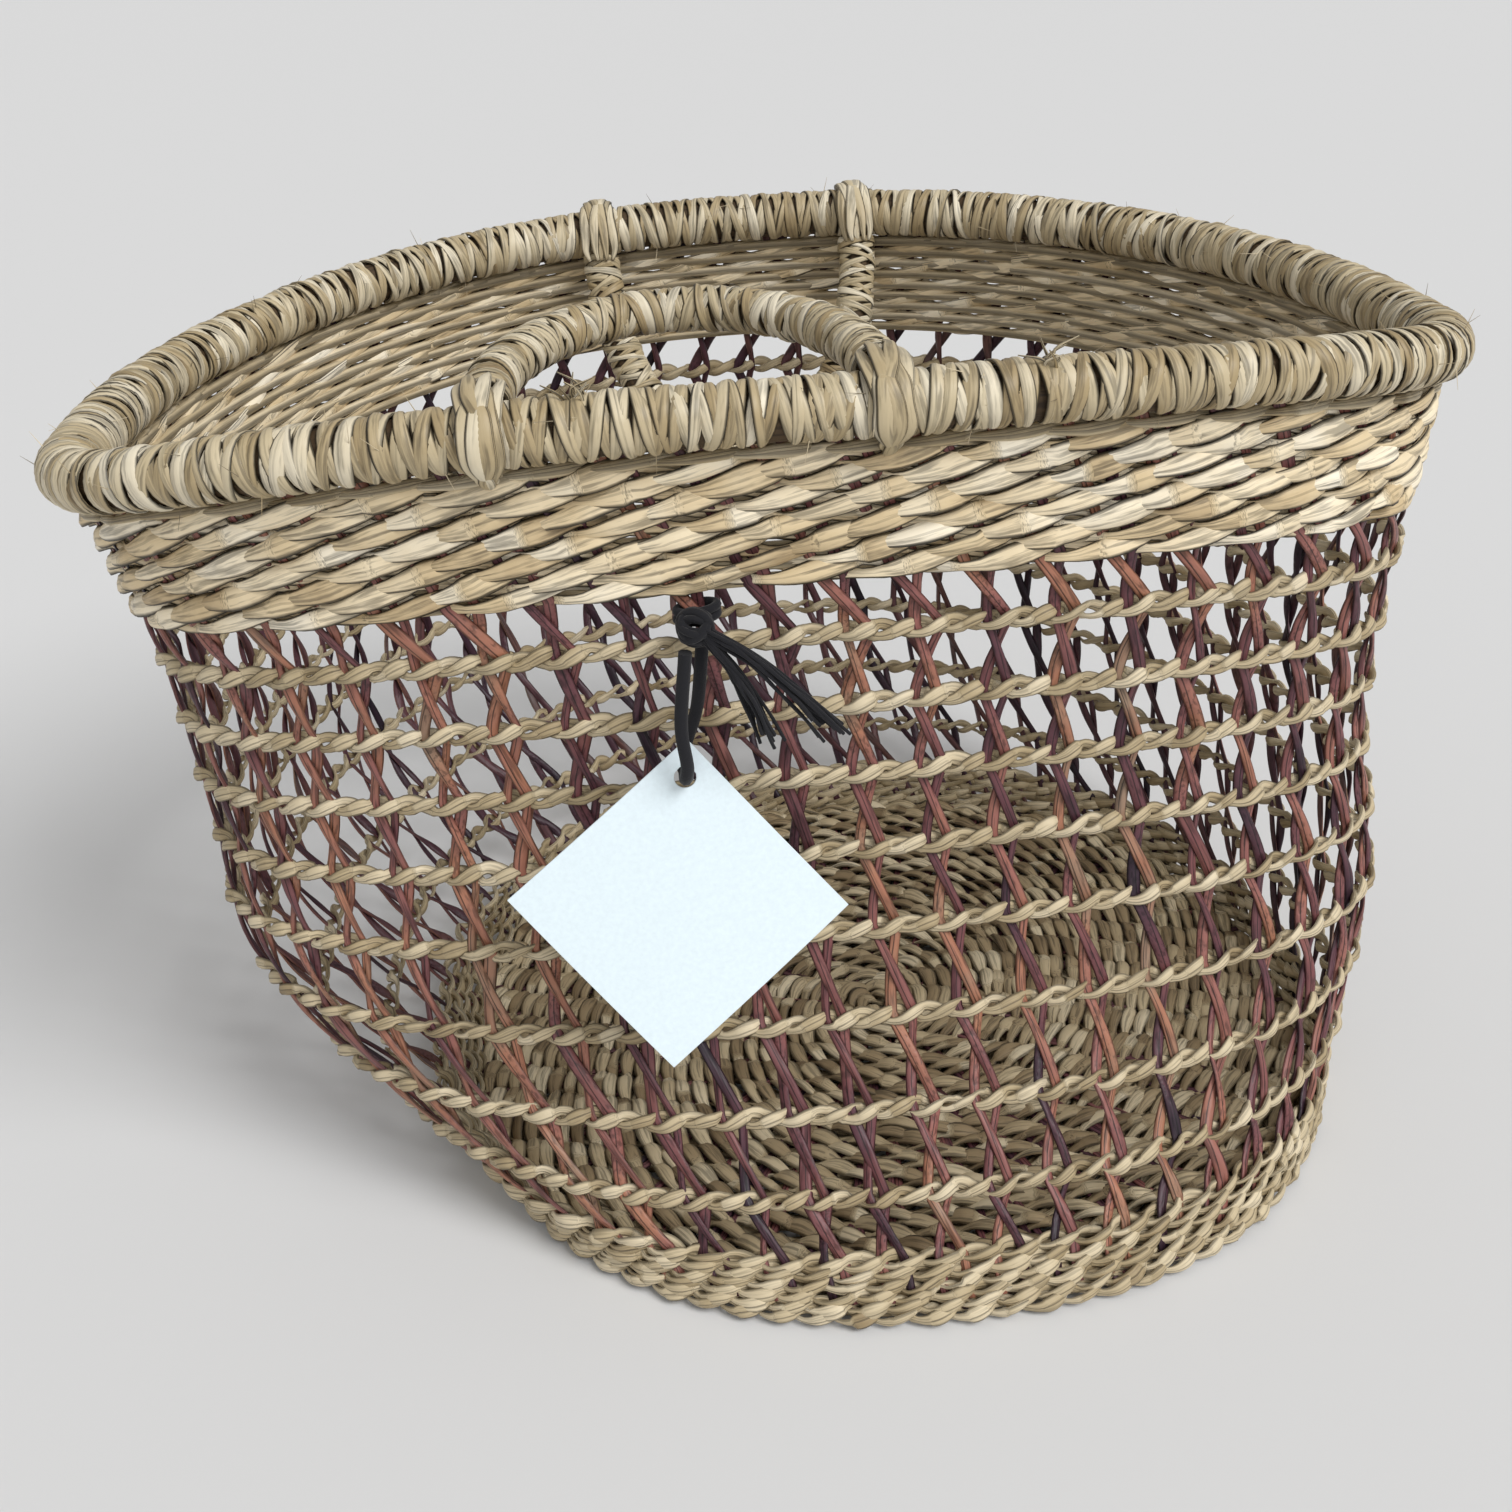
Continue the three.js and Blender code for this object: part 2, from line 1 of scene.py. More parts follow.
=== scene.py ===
# %% [markdown]
# # A twined rush basket
# The real basket is made of seagrass strands twisted in pairs round dark rush stakes. The imported model
# gives the frame, and every strand here lies on the same wall, so this first cell loads it.

# %% Load the frame
import math
import bmesh
import bpy
import numpy as np
from mathutils import Matrix, Vector


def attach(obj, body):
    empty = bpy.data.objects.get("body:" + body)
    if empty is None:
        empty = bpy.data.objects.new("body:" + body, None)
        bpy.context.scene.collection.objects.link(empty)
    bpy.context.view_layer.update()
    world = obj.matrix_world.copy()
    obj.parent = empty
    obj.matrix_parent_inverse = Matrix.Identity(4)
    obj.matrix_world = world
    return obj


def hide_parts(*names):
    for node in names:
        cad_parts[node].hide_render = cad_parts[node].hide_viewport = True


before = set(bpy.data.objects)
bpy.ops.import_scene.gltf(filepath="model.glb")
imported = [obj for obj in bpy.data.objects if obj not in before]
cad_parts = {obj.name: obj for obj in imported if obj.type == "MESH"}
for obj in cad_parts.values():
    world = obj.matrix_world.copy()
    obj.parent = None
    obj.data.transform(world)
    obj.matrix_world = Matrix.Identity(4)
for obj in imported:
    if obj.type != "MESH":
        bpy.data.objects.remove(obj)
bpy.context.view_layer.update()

MM = 0.001
UP = np.array([0.0, 0.0, 1.0])
rng = np.random.default_rng(7)

# %% [markdown]
# The camera comes first, because everything is judged through it. Its place and turns were found by fitting
# the rim, the rows and the stakes of the photograph, and the focal length is written for a picture 1512
# pixels wide.

# %% Camera
CAMERA_PLACE = Vector((-0.07327, -0.4327, 0.33413))
CAMERA_YAW = 0.084
CAMERA_PITCH = -0.502
CAMERA_ROLL = -0.036
PICTURE_PIXELS = 1512
FOCAL_PIXELS = 1750.3
NEAREST_SEEN = 0.01


def look_from(place, yaw, pitch, roll):
    ahead = Vector((math.sin(yaw) * math.cos(pitch), math.cos(yaw) * math.cos(pitch), math.sin(pitch)))
    level = Vector((math.cos(yaw), -math.sin(yaw), 0))
    above = level.cross(ahead)
    right = math.cos(roll) * level + math.sin(roll) * above
    top = -math.sin(roll) * level + math.cos(roll) * above
    turn = Matrix((right, top, -ahead)).transposed()
    return Matrix.Translation(place) @ turn.to_4x4()


def add_object(name, data):
    added = bpy.data.objects.new(name, data)
    bpy.context.scene.collection.objects.link(added)
    return added


camera = add_object("camera", bpy.data.cameras.new("camera"))
camera.matrix_world = look_from(CAMERA_PLACE, CAMERA_YAW, CAMERA_PITCH, CAMERA_ROLL)
camera.data.lens = FOCAL_PIXELS / PICTURE_PIXELS * camera.data.sensor_width
camera.data.clip_start = NEAREST_SEEN
bpy.context.scene.camera = camera
print("lens", round(camera.data.lens, 2), "mm")

# %% [markdown]
# The wall is the rule that everything follows. Its outline is a rounded oval at each height: nearly a
# circle at the foot and squarer at the rim, drawn in at the front and full at the back. The sizes are those
# of the part's own source, so that the strands lie on its solids.

# %% The wall
BASE_RADIUS = 124
HALF_LENGTHS = (BASE_RADIUS, 159, 159, 161, 167)
FRONT_REACHES = (BASE_RADIUS, 82, 66, 70, 78)
BACK_REACHES = (BASE_RADIUS, 180, 187, 173, 161)
SIDE_SHIFTS = (0, -19, -26, -28, -33)
RIM_HEIGHT = 210
FOOT_HEIGHT = 3.8
STAKE_TOP = 204.7
PAIRS = 56
START_TURN = 0.0201
TWIST_TURN = 0.0278
SWAY_TURN = 0.135
SWAY_LOW = 0.05
SWAY_HIGH = 0.74
EDGE_TOP = 13.6
BAND_BOTTOM = 171
BAND_TOP = 198
FOOT_POWER = 2.3
RIM_FRONT_POWER = 3.0
RIM_BACK_POWER = 2.2
END_DROP = 5.5
BACK_DROP = 5
RIGHT_RISE = 6
ROW_SHARES = (0.91, 0.79, 0.67, 0.545, 0.42, 0.29, 0.17, 0.07)
ROW_HEIGHTS = [EDGE_TOP + share * (BAND_BOTTOM - EDGE_TOP) for share in ROW_SHARES]


def along_levels(values, share):
    """A smooth curve through five values at even steps."""
    at = min(share * 4, 3.999999)
    i = int(at)
    t = at - i
    v = np.asarray(values, float)
    p0 = v[i - 1] if i else 2 * v[0] - v[1]
    p3 = v[i + 2] if i + 2 < len(v) else 2 * v[-1] - v[-2]
    p1, p2 = v[i], v[i + 1]
    m1, m2 = (p2 - p0) / 2, (p3 - p1) / 2
    return (2 * p1 - 2 * p2 + m1 + m2) * t**3 + (3 * p2 - 3 * p1 - 2 * m1 - m2) * t**2 + m1 * t + p1


def outline(height, count):
    """Points evenly spaced round the wall at a height, in millimetres."""
    share = min(max((height - FOOT_HEIGHT) / (RIM_HEIGHT - FOOT_HEIGHT), 0), 1)
    rise_share = min(max((height - FOOT_HEIGHT) / (STAKE_TOP - FOOT_HEIGHT), 0), 1)
    half, front, back = (along_levels(v, share) for v in (HALF_LENGTHS, FRONT_REACHES, BACK_REACHES))
    angle = np.linspace(-math.pi, math.pi, 2001)
    end = np.where(np.sin(angle) < 0, RIM_FRONT_POWER, RIM_BACK_POWER)
    exponent = 2 / (FOOT_POWER + (end - FOOT_POWER) * share**1.5)
    bent = lambda v: np.sign(v) * np.abs(v) ** exponent
    x = along_levels(SIDE_SHIFTS, share) + half * bent(np.cos(angle))
    y = np.where(np.sin(angle) < 0, front, back) * bent(np.sin(angle))
    rise = -END_DROP * np.cos(2 * angle) - BACK_DROP * np.sin(angle) + RIGHT_RISE * np.cos(angle)
    points = np.stack([x, y, height + rise_share * rise], 1)
    steps = np.concatenate([[0], np.cumsum(np.linalg.norm(np.diff(points, axis=0), axis=1))])
    sway = SWAY_TURN * (share - SWAY_LOW) * max(0, SWAY_HIGH - share)
    turn = (np.arange(count) / count + START_TURN - TWIST_TURN * share - sway) % 1
    return np.stack([np.interp(turn * steps[-1], steps, points[:, k]) for k in range(3)], 1)


WALL_STEPS = 1120
wall_heights = np.linspace(FOOT_HEIGHT, RIM_HEIGHT, 84)
wall_grid = np.array([outline(h, WALL_STEPS) for h in wall_heights])


def wall(turn, height):
    """Point of the wall, and its level directions along and outward, for arrays of turns and heights."""
    turn, height = np.broadcast_arrays(np.asarray(turn, float), np.asarray(height, float))
    row = np.clip((height - FOOT_HEIGHT) / (RIM_HEIGHT - FOOT_HEIGHT), 0, 0.999999) * (len(wall_heights) - 1)
    r = row.astype(int)
    fr = (row - r)[..., None]

    def grid_at(t):
        col = (t % 1) * WALL_STEPS
        c = col.astype(int) % WALL_STEPS
        fc = (col - np.floor(col))[..., None]
        d = (c + 1) % WALL_STEPS
        low = wall_grid[r, c] * (1 - fc) + wall_grid[r, d] * fc
        high = wall_grid[r + 1, c] * (1 - fc) + wall_grid[r + 1, d] * fc
        return low * (1 - fr) + high * fr

    point = grid_at(turn)
    along = grid_at(turn + 0.002) - grid_at(turn - 0.002)
    along[..., 2] = 0
    along /= np.linalg.norm(along, axis=-1, keepdims=True)
    out = np.stack([along[..., 1], -along[..., 0], np.zeros_like(along[..., 0])], -1)
    return point, along, out


rim_length = np.linalg.norm(np.diff(wall_grid[-1], axis=0), axis=1).sum()
foot_length = np.linalg.norm(np.diff(wall_grid[0], axis=0), axis=1).sum()
print("rim is", round(rim_length), "mm round, foot", round(foot_length))

# %% [markdown]
# Dry seagrass is a pale, slightly glossy leaf with fine ribs along its length, and each strand has its own
# shade. So the colour comes from attributes that every strand's mesh carries: a tint for the strand or
# stitch, and the place along and around it, in which thin stretched noise makes the ribs. Noise on object
# coordinates adds slow patches of lighter and darker leaf. The short functions come first, one for each
# kind of node.

# %% Materials
def linear(red, green, blue):
    return tuple(((c / 255 + 0.055) / 1.055) ** 2.4 for c in (red, green, blue)) + (1,)


def feed(tree, socket, value):
    """Gives a node's input a number or colour, or joins it to another node's output."""
    if isinstance(value, bpy.types.NodeSocket):
        tree.links.new(value, socket)
    else:
        socket.default_value = value


def attribute(tree, key):
    node = tree.nodes.new("ShaderNodeAttribute")
    node.attribute_name = key
    return node.outputs["Fac"]


def maths(tree, operation, *values):
    node = tree.nodes.new("ShaderNodeMath")
    node.operation = operation
    for socket, value in zip(node.inputs, values):
        feed(tree, socket, value)
    return node.outputs[0]


def remapped(tree, value, low, high, new_low, new_high):
    node = tree.nodes.new("ShaderNodeMapRange")
    keys = ("Value", "From Min", "From Max", "To Min", "To Max")
    for key, given in zip(keys, (value, low, high, new_low, new_high)):
        feed(tree, node.inputs[key], given)
    return node.outputs[0]


def multiplied(tree, color, other, share=1):
    node = tree.nodes.new("ShaderNodeMix")
    node.data_type = "RGBA"
    node.blend_type = "MULTIPLY"
    feed(tree, node.inputs["Factor"], share)
    feed(tree, node.inputs["A"], color)
    feed(tree, node.inputs["B"], other)
    return node.outputs["Result"]


def noise(tree, place, scale, detail):
    node = tree.nodes.new("ShaderNodeTexNoise")
    node.inputs["Scale"].default_value = scale
    node.inputs["Detail"].default_value = detail
    tree.links.new(place, node.inputs["Vector"])
    return node.outputs["Fac"]


def object_place(tree):
    return tree.nodes.new("ShaderNodeTexCoord").outputs["Object"]


def shade_ramp(tree, value, shades, low=0.0, high=1.0):
    """A ramp of evenly spaced shades between two values."""
    node = tree.nodes.new("ShaderNodeValToRGB")
    elements = node.color_ramp.elements
    elements[0].position, elements[0].color = low, linear(*shades[0])
    elements[1].position, elements[1].color = high, linear(*shades[-1])
    for i, shade in enumerate(shades[1:-1]):
        elements.new(low + (high - low) * (i + 1) / (len(shades) - 1)).color = linear(*shade)
    tree.links.new(value, node.inputs["Fac"])
    return node.outputs["Color"]


def start_material(name, roughness):
    material = bpy.data.materials.new(name)
    material.use_nodes = True
    shader = material.node_tree.nodes["Principled BSDF"]
    shader.inputs["Roughness"].default_value = roughness
    return material, material.node_tree, shader


def finish_shader(tree, shader, color, height, strength, depth):
    """Joins the colour, and the bumps of a height with a depth in millimetres."""
    bump = tree.nodes.new("ShaderNodeBump")
    bump.inputs["Strength"].default_value = strength
    bump.inputs["Distance"].default_value = depth * MM
    tree.links.new(height, bump.inputs["Height"])
    tree.links.new(bump.outputs[0], shader.inputs["Normal"])
    tree.links.new(color, shader.inputs["Base Color"])


LEAF_GLOSS = 0.35
RIB_RUN = 90
TINT_SPREAD = 40
PATCH_SCALE = 60
PATCH_WEIGHT = 0.5
TINT_WEIGHT = 0.75
TINT_START = -0.12
RIB_BAND = (0.36, 0.5)
EDGE_AND_SLIT_SHADE_START = 0.55
CREASE_PLACE = 0.2
CREASE_DRIFT = -0.12
CREASE_WIDTH = 0.018
RIB_STRENGTH = 0.6


def leaf_material(
    name, shades, rib_depth, roughness, dark=0.45, ribs=26, dried_edge_and_slit_shade=1.0, fold_shade=1.0, inner=(1, 1, 1),
):
    """A dried leaf: shades by strand with patches, dark ribs, long sides darkened partly as dried edges and
    partly as painted shade of the slits between strips, a painted shade line along its folded middle, and
    painted shade on the inner side when given.
    """
    material, tree, shader = start_material(name, roughness)
    shader.inputs["Specular IOR Level"].default_value = LEAF_GLOSS
    along, around, tint = (attribute(tree, key) for key in ("along", "around", "tint"))

    place = tree.nodes.new("ShaderNodeCombineXYZ")
    for axis, value, scale in (("X", along, RIB_RUN), ("Y", around, ribs), ("Z", tint, TINT_SPREAD)):
        tree.links.new(maths(tree, "MULTIPLY", value, scale), place.inputs[axis])
    rib = noise(tree, place.outputs[0], 1, 3)
    patch = noise(tree, object_place(tree), PATCH_SCALE, 4)

    strand_shade = maths(tree, "MULTIPLY_ADD", tint, TINT_WEIGHT, TINT_START)
    shade = maths(tree, "MULTIPLY_ADD", patch, PATCH_WEIGHT, strand_shade)
    color = shade_ramp(tree, shade, shades, 0.1, 0.95)
    color = multiplied(tree, color, remapped(tree, rib, *RIB_BAND, dark, 1))

    # The long sides of each strip are darkened, partly as the darker dried edges of the leaf and partly as
    # painted shade of the slits between strips.
    sideways = maths(tree, "COSINE", maths(tree, "MULTIPLY", around, 2 * math.pi))
    edge_and_slit_shade_mask = maths(tree, "MULTIPLY", sideways, sideways)
    color = multiplied(tree, color, remapped(tree, edge_and_slit_shade_mask, EDGE_AND_SLIT_SHADE_START, 1, 1, dried_edge_and_slit_shade))

    # Painted shade: a thin line along each strip, where it is folded, is darkened.
    off_crease = maths(tree, "MULTIPLY_ADD", tint, CREASE_DRIFT, around)
    crease_shade_mask = maths(tree, "COMPARE", off_crease, CREASE_PLACE, CREASE_WIDTH)
    color = multiplied(tree, color, remapped(tree, crease_shade_mask, 0, 1, 1, fold_shade))

    # Painted shade: the inner side of a strip, which faces into the basket, is multiplied by a darker colour.
    inside = maths(tree, "GREATER_THAN", around, 0.5)
    color = multiplied(tree, color, (*inner, 1), inside)
    finish_shader(tree, shader, color, rib, RIB_STRENGTH, rib_depth)
    return material


straw_shades = [(122, 100, 68), (178, 160, 126), (204, 188, 156), (228, 214, 186)]
straw = leaf_material("straw_strand", straw_shades, 0.5, 0.55, dark=0.7, ribs=18, dried_edge_and_slit_shade=0.4, fold_shade=0.5)
band_shades = [(142, 113, 74), (218, 196, 156), (240, 224, 192), (253, 246, 229)]
band_straw = leaf_material("band_straw", band_shades, 0.6, 0.5, dark=0.5, ribs=14, dried_edge_and_slit_shade=0.06, fold_shade=0.75)
wrap_shades = [(106, 83, 52), (168, 149, 113), (196, 181, 149), (230, 220, 197)]
wrap_straw = leaf_material("wrap_straw", wrap_shades, 0.5, 0.45, dark=0.55, ribs=9, dried_edge_and_slit_shade=0.1, fold_shade=0.8)
base_shades = [(100, 80, 54), (156, 136, 104), (190, 172, 138), (224, 210, 180)]
base_straw = leaf_material("base_straw", base_shades, 0.5, 0.6, dark=0.5, ribs=16, dried_edge_and_slit_shade=0.4)
# Painted shadow: the rim bundle and the handle canes get this dark straw, so the slits between the wound
# strips look shaded.
painted_shadow_straw = leaf_material("painted_shadow_straw", [(62, 48, 32), (84, 66, 44), (98, 80, 54)], 0.4, 0.7)
rush_shades = [(50, 34, 46), (90, 55, 63), (118, 73, 74), (146, 95, 87), (164, 112, 88), (146, 122, 102)]
# The stakes' inner side, facing into the basket, is painted darker and bluer as shade.
rush_inner_side_shade = (0.35, 0.35, 0.5)
rush = leaf_material(
    "dyed_rush", rush_shades, 0.5, 0.42, dark=0.5, ribs=9, dried_edge_and_slit_shade=0.45, fold_shade=0.3, inner=rush_inner_side_shade,
)
print("materials", [m.name for m in bpy.data.materials])

# %% [markdown]
# A strand is a centreline with a round section swept along it, the same for every row, the band and the
# base. So one Geometry Nodes tree does the sweep: mesh edges become curves, an attribute gives each point
# its thickness, and the section stores where round the strand a point lies, which the ribs need.

# %% The strand tree
def start_tree(name, inputs):
    """A tree that takes a mesh and some named values and gives a mesh."""
    tree = bpy.data.node_groups.new(name, "GeometryNodeTree")
    socket = tree.interface.new_socket
    socket("Geometry", in_out="INPUT", socket_type="NodeSocketGeometry")
    for key, kind in inputs:
        socket(key, in_out="INPUT", socket_type="NodeSocket" + kind)
    socket("Geometry", in_out="OUTPUT", socket_type="NodeSocketGeometry")
    return tree, tree.nodes.new("NodeGroupInput")


def finish_tree(tree, given, shape):
    """Makes the instances real, sets their material and gives them back."""
    realize = tree.nodes.new("GeometryNodeRealizeInstances")
    paint = tree.nodes.new("GeometryNodeSetMaterial")
    made = tree.nodes.new("NodeGroupOutput")
    tree.links.new(shape, realize.inputs[0])
    tree.links.new(realize.outputs[0], paint.inputs["Geometry"])
    tree.links.new(given.outputs["Material"], paint.inputs["Material"])
    tree.links.new(paint.outputs[0], made.inputs[0])
    return tree


def strand_tree():
    tree, given = start_tree("sweep_strands", [("Sides", "Int"), ("Material", "Material")])
    nodes, links = tree.nodes, tree.links
    curve = nodes.new("GeometryNodeMeshToCurve")
    thick = nodes.new("GeometryNodeInputNamedAttribute")
    thick.data_type = "FLOAT"
    thick.inputs["Name"].default_value = "thick"
    radius = nodes.new("GeometryNodeSetCurveRadius")
    section = nodes.new("GeometryNodeCurvePrimitiveCircle")
    section.inputs["Radius"].default_value = 1
    parameter = nodes.new("GeometryNodeSplineParameter")
    around = nodes.new("GeometryNodeStoreNamedAttribute")
    around.data_type = "FLOAT"
    around.inputs["Name"].default_value = "around"
    sweep = nodes.new("GeometryNodeCurveToMesh")
    sweep.inputs["Fill Caps"].default_value = True
    smooth = nodes.new("GeometryNodeSetShadeSmooth")
    links.new(given.outputs["Geometry"], curve.inputs[0])
    links.new(curve.outputs[0], radius.inputs["Curve"])
    links.new(thick.outputs["Attribute"], radius.inputs["Radius"])
    links.new(given.outputs["Sides"], section.inputs["Resolution"])
    links.new(section.outputs["Curve"], around.inputs["Geometry"])
    links.new(parameter.outputs["Factor"], around.inputs["Value"])
    links.new(radius.outputs[0], sweep.inputs["Curve"])
    links.new(around.outputs[0], sweep.inputs["Profile Curve"])
    if "Scale" in sweep.inputs:
        links.new(thick.outputs["Attribute"], sweep.inputs["Scale"])
    links.new(sweep.outputs[0], smooth.inputs[0])
    return finish_tree(tree, given, smooth.outputs[0])


sweep_strands = strand_tree()


def run_tree(name, mesh, tree, **values):
    """The mesh put through a tree, as a plain mesh object."""
    raw = add_object(name + "_raw", mesh)
    modifier = raw.modifiers.new("grow", "NODES")
    modifier.node_group = tree
    for item in tree.interface.items_tree:
        if item.item_type == "SOCKET" and item.in_out == "INPUT" and item.name in values:
            modifier[item.identifier] = values[item.name]
    raw.update_tag()
    evaluated = raw.evaluated_get(bpy.context.evaluated_depsgraph_get())
    plain = bpy.data.meshes.new_from_object(evaluated)
    bpy.data.objects.remove(raw)
    return add_object(name, plain)


def carry(mesh, **attributes):
    for key, values in attributes.items():
        mesh.attributes.new(key, "FLOAT", "POINT").data.foreach_set("value", values)


def strands(name, lines, material, sides=8):
    """One piece of round strands. A line holds points and radii in mm, tints, and if it is closed."""
    points, edges, start = [], [], 0
    along, thick, tint = [], [], []
    for line, radii, tints, closed in lines:
        n = len(line)
        points.append(line * MM)
        lengths = np.concatenate([[0], np.cumsum(np.linalg.norm(np.diff(line, axis=0), axis=1))]) * MM
        along.append(lengths)
        thick.append(np.broadcast_to(radii, n) * MM)
        tint.append(np.broadcast_to(tints, n))
        index = np.arange(start, start + n)
        pairs = np.stack([index[:-1], index[1:]], 1)
        edges.append(np.vstack([pairs, [[index[-1], index[0]]]]) if closed else pairs)
        start += n
    mesh = bpy.data.meshes.new(name)
    mesh.from_pydata(np.vstack(points).tolist(), np.vstack(edges).tolist(), [])
    carry(mesh, along=np.concatenate(along), thick=np.concatenate(thick), tint=np.concatenate(tint))
    return run_tree(name, mesh, sweep_strands, Sides=sides, Material=material)


# %% [markdown]
# In twining, two strands cross between one pair of stakes and the next, and take turns to pass in front. So
# each strand's line swings from outside to inside the stakes and back, and rises while it is outside. That
# gives the leaf-shaped stitches that slant up to the right, one to a pair.

# %% Twined rows
STITCH_STEPS = 10
SHADE_RANGE = (0.25, 0.9)
CROSSING_POWER = 0.7


def twined_row(
    height, radius, depth, lift, shift=0.0, stitches=PAIRS, swell=0.25, wander=0.22, slack=1.0, overlap=0.0,
):
    """Two closed lines that twine round the stakes, with their thickness and shade at each point.

    Depth is how far they swing from the wall, and slack is the share of it left between two pairs. Lift is
    the rise outside, shift the start in stitches, and wander the unevenness in height. Overlap lengthens the
    outer part of a stitch.
    """
    steps = STITCH_STEPS
    n = stitches * steps
    turn = np.arange(n) / n
    lines = []
    for strand in (0, 1):
        phase = math.pi * (stitches * turn - 0.5 + strand - shift)
        face = np.cos(phase)
        far = (face + overlap) / (1 + overlap)
        swing = np.sign(far) * np.abs(far) ** CROSSING_POWER
        sway = np.repeat(rng.normal(0, wander, stitches), steps)
        looped = np.r_[sway[-steps:], sway, sway[:steps]]
        sway = np.convolve(looped, np.ones(steps) / steps, "same")[steps:-steps]
        point, _, out = wall(turn, height + sway)
        near_pair = 0.5 - 0.5 * np.cos(2 * math.pi * PAIRS * turn)
        line = point + out * (depth * (slack + (1 - slack) * near_pair) * swing)[:, None]
        line[:, 2] += lift * np.sin(phase)
        stitch = np.floor(stitches * turn + 0.5 * strand - shift).astype(int)
        shade = rng.uniform(*SHADE_RANGE, stitches + 4)[stitch % stitches]
        uneven = 1 + 0.1 * rng.normal(size=stitches + 4)[stitch % stitches]
        thick = radius * (1 - swell / 2 + swell * np.abs(face)) * uneven
        thick = thick * (1 + 0.3 * np.sin(phase) * (face > 0))
        lines.append((line, np.maximum(thick, 0.6 * radius), shade, True))
    return lines


def dress(piece, body, slot, *nodes):
    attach(piece, body)
    if nodes:
        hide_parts(*nodes)
    return piece


print("a row of", len(twined_row(100, 1, 2, 1)[0][0]), "points a strand")

# %% [markdown]
# The leaves of the rows and the rush stakes are flat. Their strips are made point by point, because a sweep
# wouldn't keep a strip's flat side to the wall. Each strip has an oval section and takes its own shade.

# %% Flat strips
def unit(v):
    return v / np.linalg.norm(v, axis=-1, keepdims=True)


def strips(name, lines, material, sides=8):
    """One piece of flat strips.

    A line holds its centres, the directions of its width and its outer face, its half width and half
    thickness in millimetres, its tint, and if it is closed.
    """
    angle = np.arange(sides) * 2 * math.pi / sides
    section = np.stack([np.cos(angle), np.sin(angle)], 1)
    vertices, faces, along, around, tints, start = [], [], [], [], [], 0
    for centre, wide, out, half_width, half_thick, tint, closed in lines:
        n = len(centre)
        w = np.broadcast_to(half_width, n)[:, None, None]
        t = np.broadcast_to(half_thick, n)[:, None, None]
        across, outward = wide[:, None] * w * section[None, :, :1], out[:, None] * t * section[None, :, 1:]
        vertices.append((centre[:, None] + across + outward).reshape(-1, 3))
        lengths = np.concatenate([[0], np.cumsum(np.linalg.norm(np.diff(centre, axis=0), axis=1))])
        along.append(np.repeat(lengths, sides))
        around.append(np.tile(np.arange(sides) / sides, n))
        tints.append(np.repeat(np.broadcast_to(tint, n), sides))
        i, j = np.meshgrid(np.arange(n if closed else n - 1), np.arange(sides), indexing="ij")
        a, b = i * sides + j, i * sides + (j + 1) % sides
        c, d = ((i + 1) % n) * sides + (j + 1) % sides, ((i + 1) % n) * sides + j
        faces += (np.stack([a, b, c, d], -1).reshape(-1, 4) + start).tolist()
        if not closed:
            faces.append([start + k for k in range(sides)][::-1])
            faces.append([start + (n - 1) * sides + k for k in range(sides)])
        start += n * sides
    mesh = bpy.data.meshes.new(name)
    mesh.from_pydata((np.vstack(vertices) * MM).tolist(), [], faces)
    carry(mesh, along=np.concatenate(along) * MM, around=np.concatenate(around), tint=np.concatenate(tints))
    mesh.shade_smooth()
    mesh.materials.append(material)
    piece = add_object(name, mesh)
    set_outward(piece)
    return piece


def set_outward(piece):
    work = bmesh.new()
    work.from_mesh(piece.data)
    bmesh.ops.recalc_face_normals(work, faces=work.faces)
    work.to_mesh(piece.data)
    work.free()


# %% [markdown]
# The open rows come first. There the two strands cross twice for each pair of stakes: one of them is
# outside at every pair, and the other comes out between the pairs, where it lies nearer to the wall.

# %% Open rows
LEAF_THICKNESS = 0.4


def leaf_row(
    height, half_width, depth, lift, shift, stitches, tilt=0.2, swell=0.6, wander=0.3, slack=1.0, overlap=0.0,
):
    """A twined row of flat leaves, broad where they pass outside the stakes and narrow where they cross."""
    lines = []
    row = twined_row(height, half_width, depth, lift, shift, stitches, swell, wander, slack, overlap)
    for line, thick, shade, closed in row:
        turn = np.arange(len(line)) / len(line)
        _, _, out = wall(turn, height)
        run = unit(np.roll(line, -1, 0) - np.roll(line, 1, 0))
        lean = np.repeat(rng.normal(tilt, 0.25, stitches), len(line) // stitches)
        face = unit(out + np.outer(lean, UP))
        # The wall ends at the foot, so a lower row is moved down.
        line = line + UP * min(0, height - FOOT_HEIGHT)
        wide = unit(np.cross(face, run))
        lines.append((line, wide, unit(np.cross(run, wide)), thick, thick * LEAF_THICKNESS, shade, closed))
    return lines


for row, height in enumerate(ROW_HEIGHTS):
    lines = leaf_row(
        height, half_width=1.5, depth=2.3, lift=1.25, shift=0.5, stitches=2 * PAIRS, swell=0.2, wander=0.25,
        slack=0.7, overlap=0.25,
    )
    piece = strips(f"twined_row_{row + 1}", lines, straw)
    dress(piece, "basket", "pale_seagrass", f"open_row_{row + 1}_outer", f"open_row_{row + 1}_inner")
print("open rows at", [round(h) for h in ROW_HEIGHTS])

# %% [markdown]
# The band is packed tight, with longer and broader pointed leaves. Each row starts further round than the
# one above, which gives the band its slanting grain, and thin cords behind the rows close it, so that no
# stake shows through.

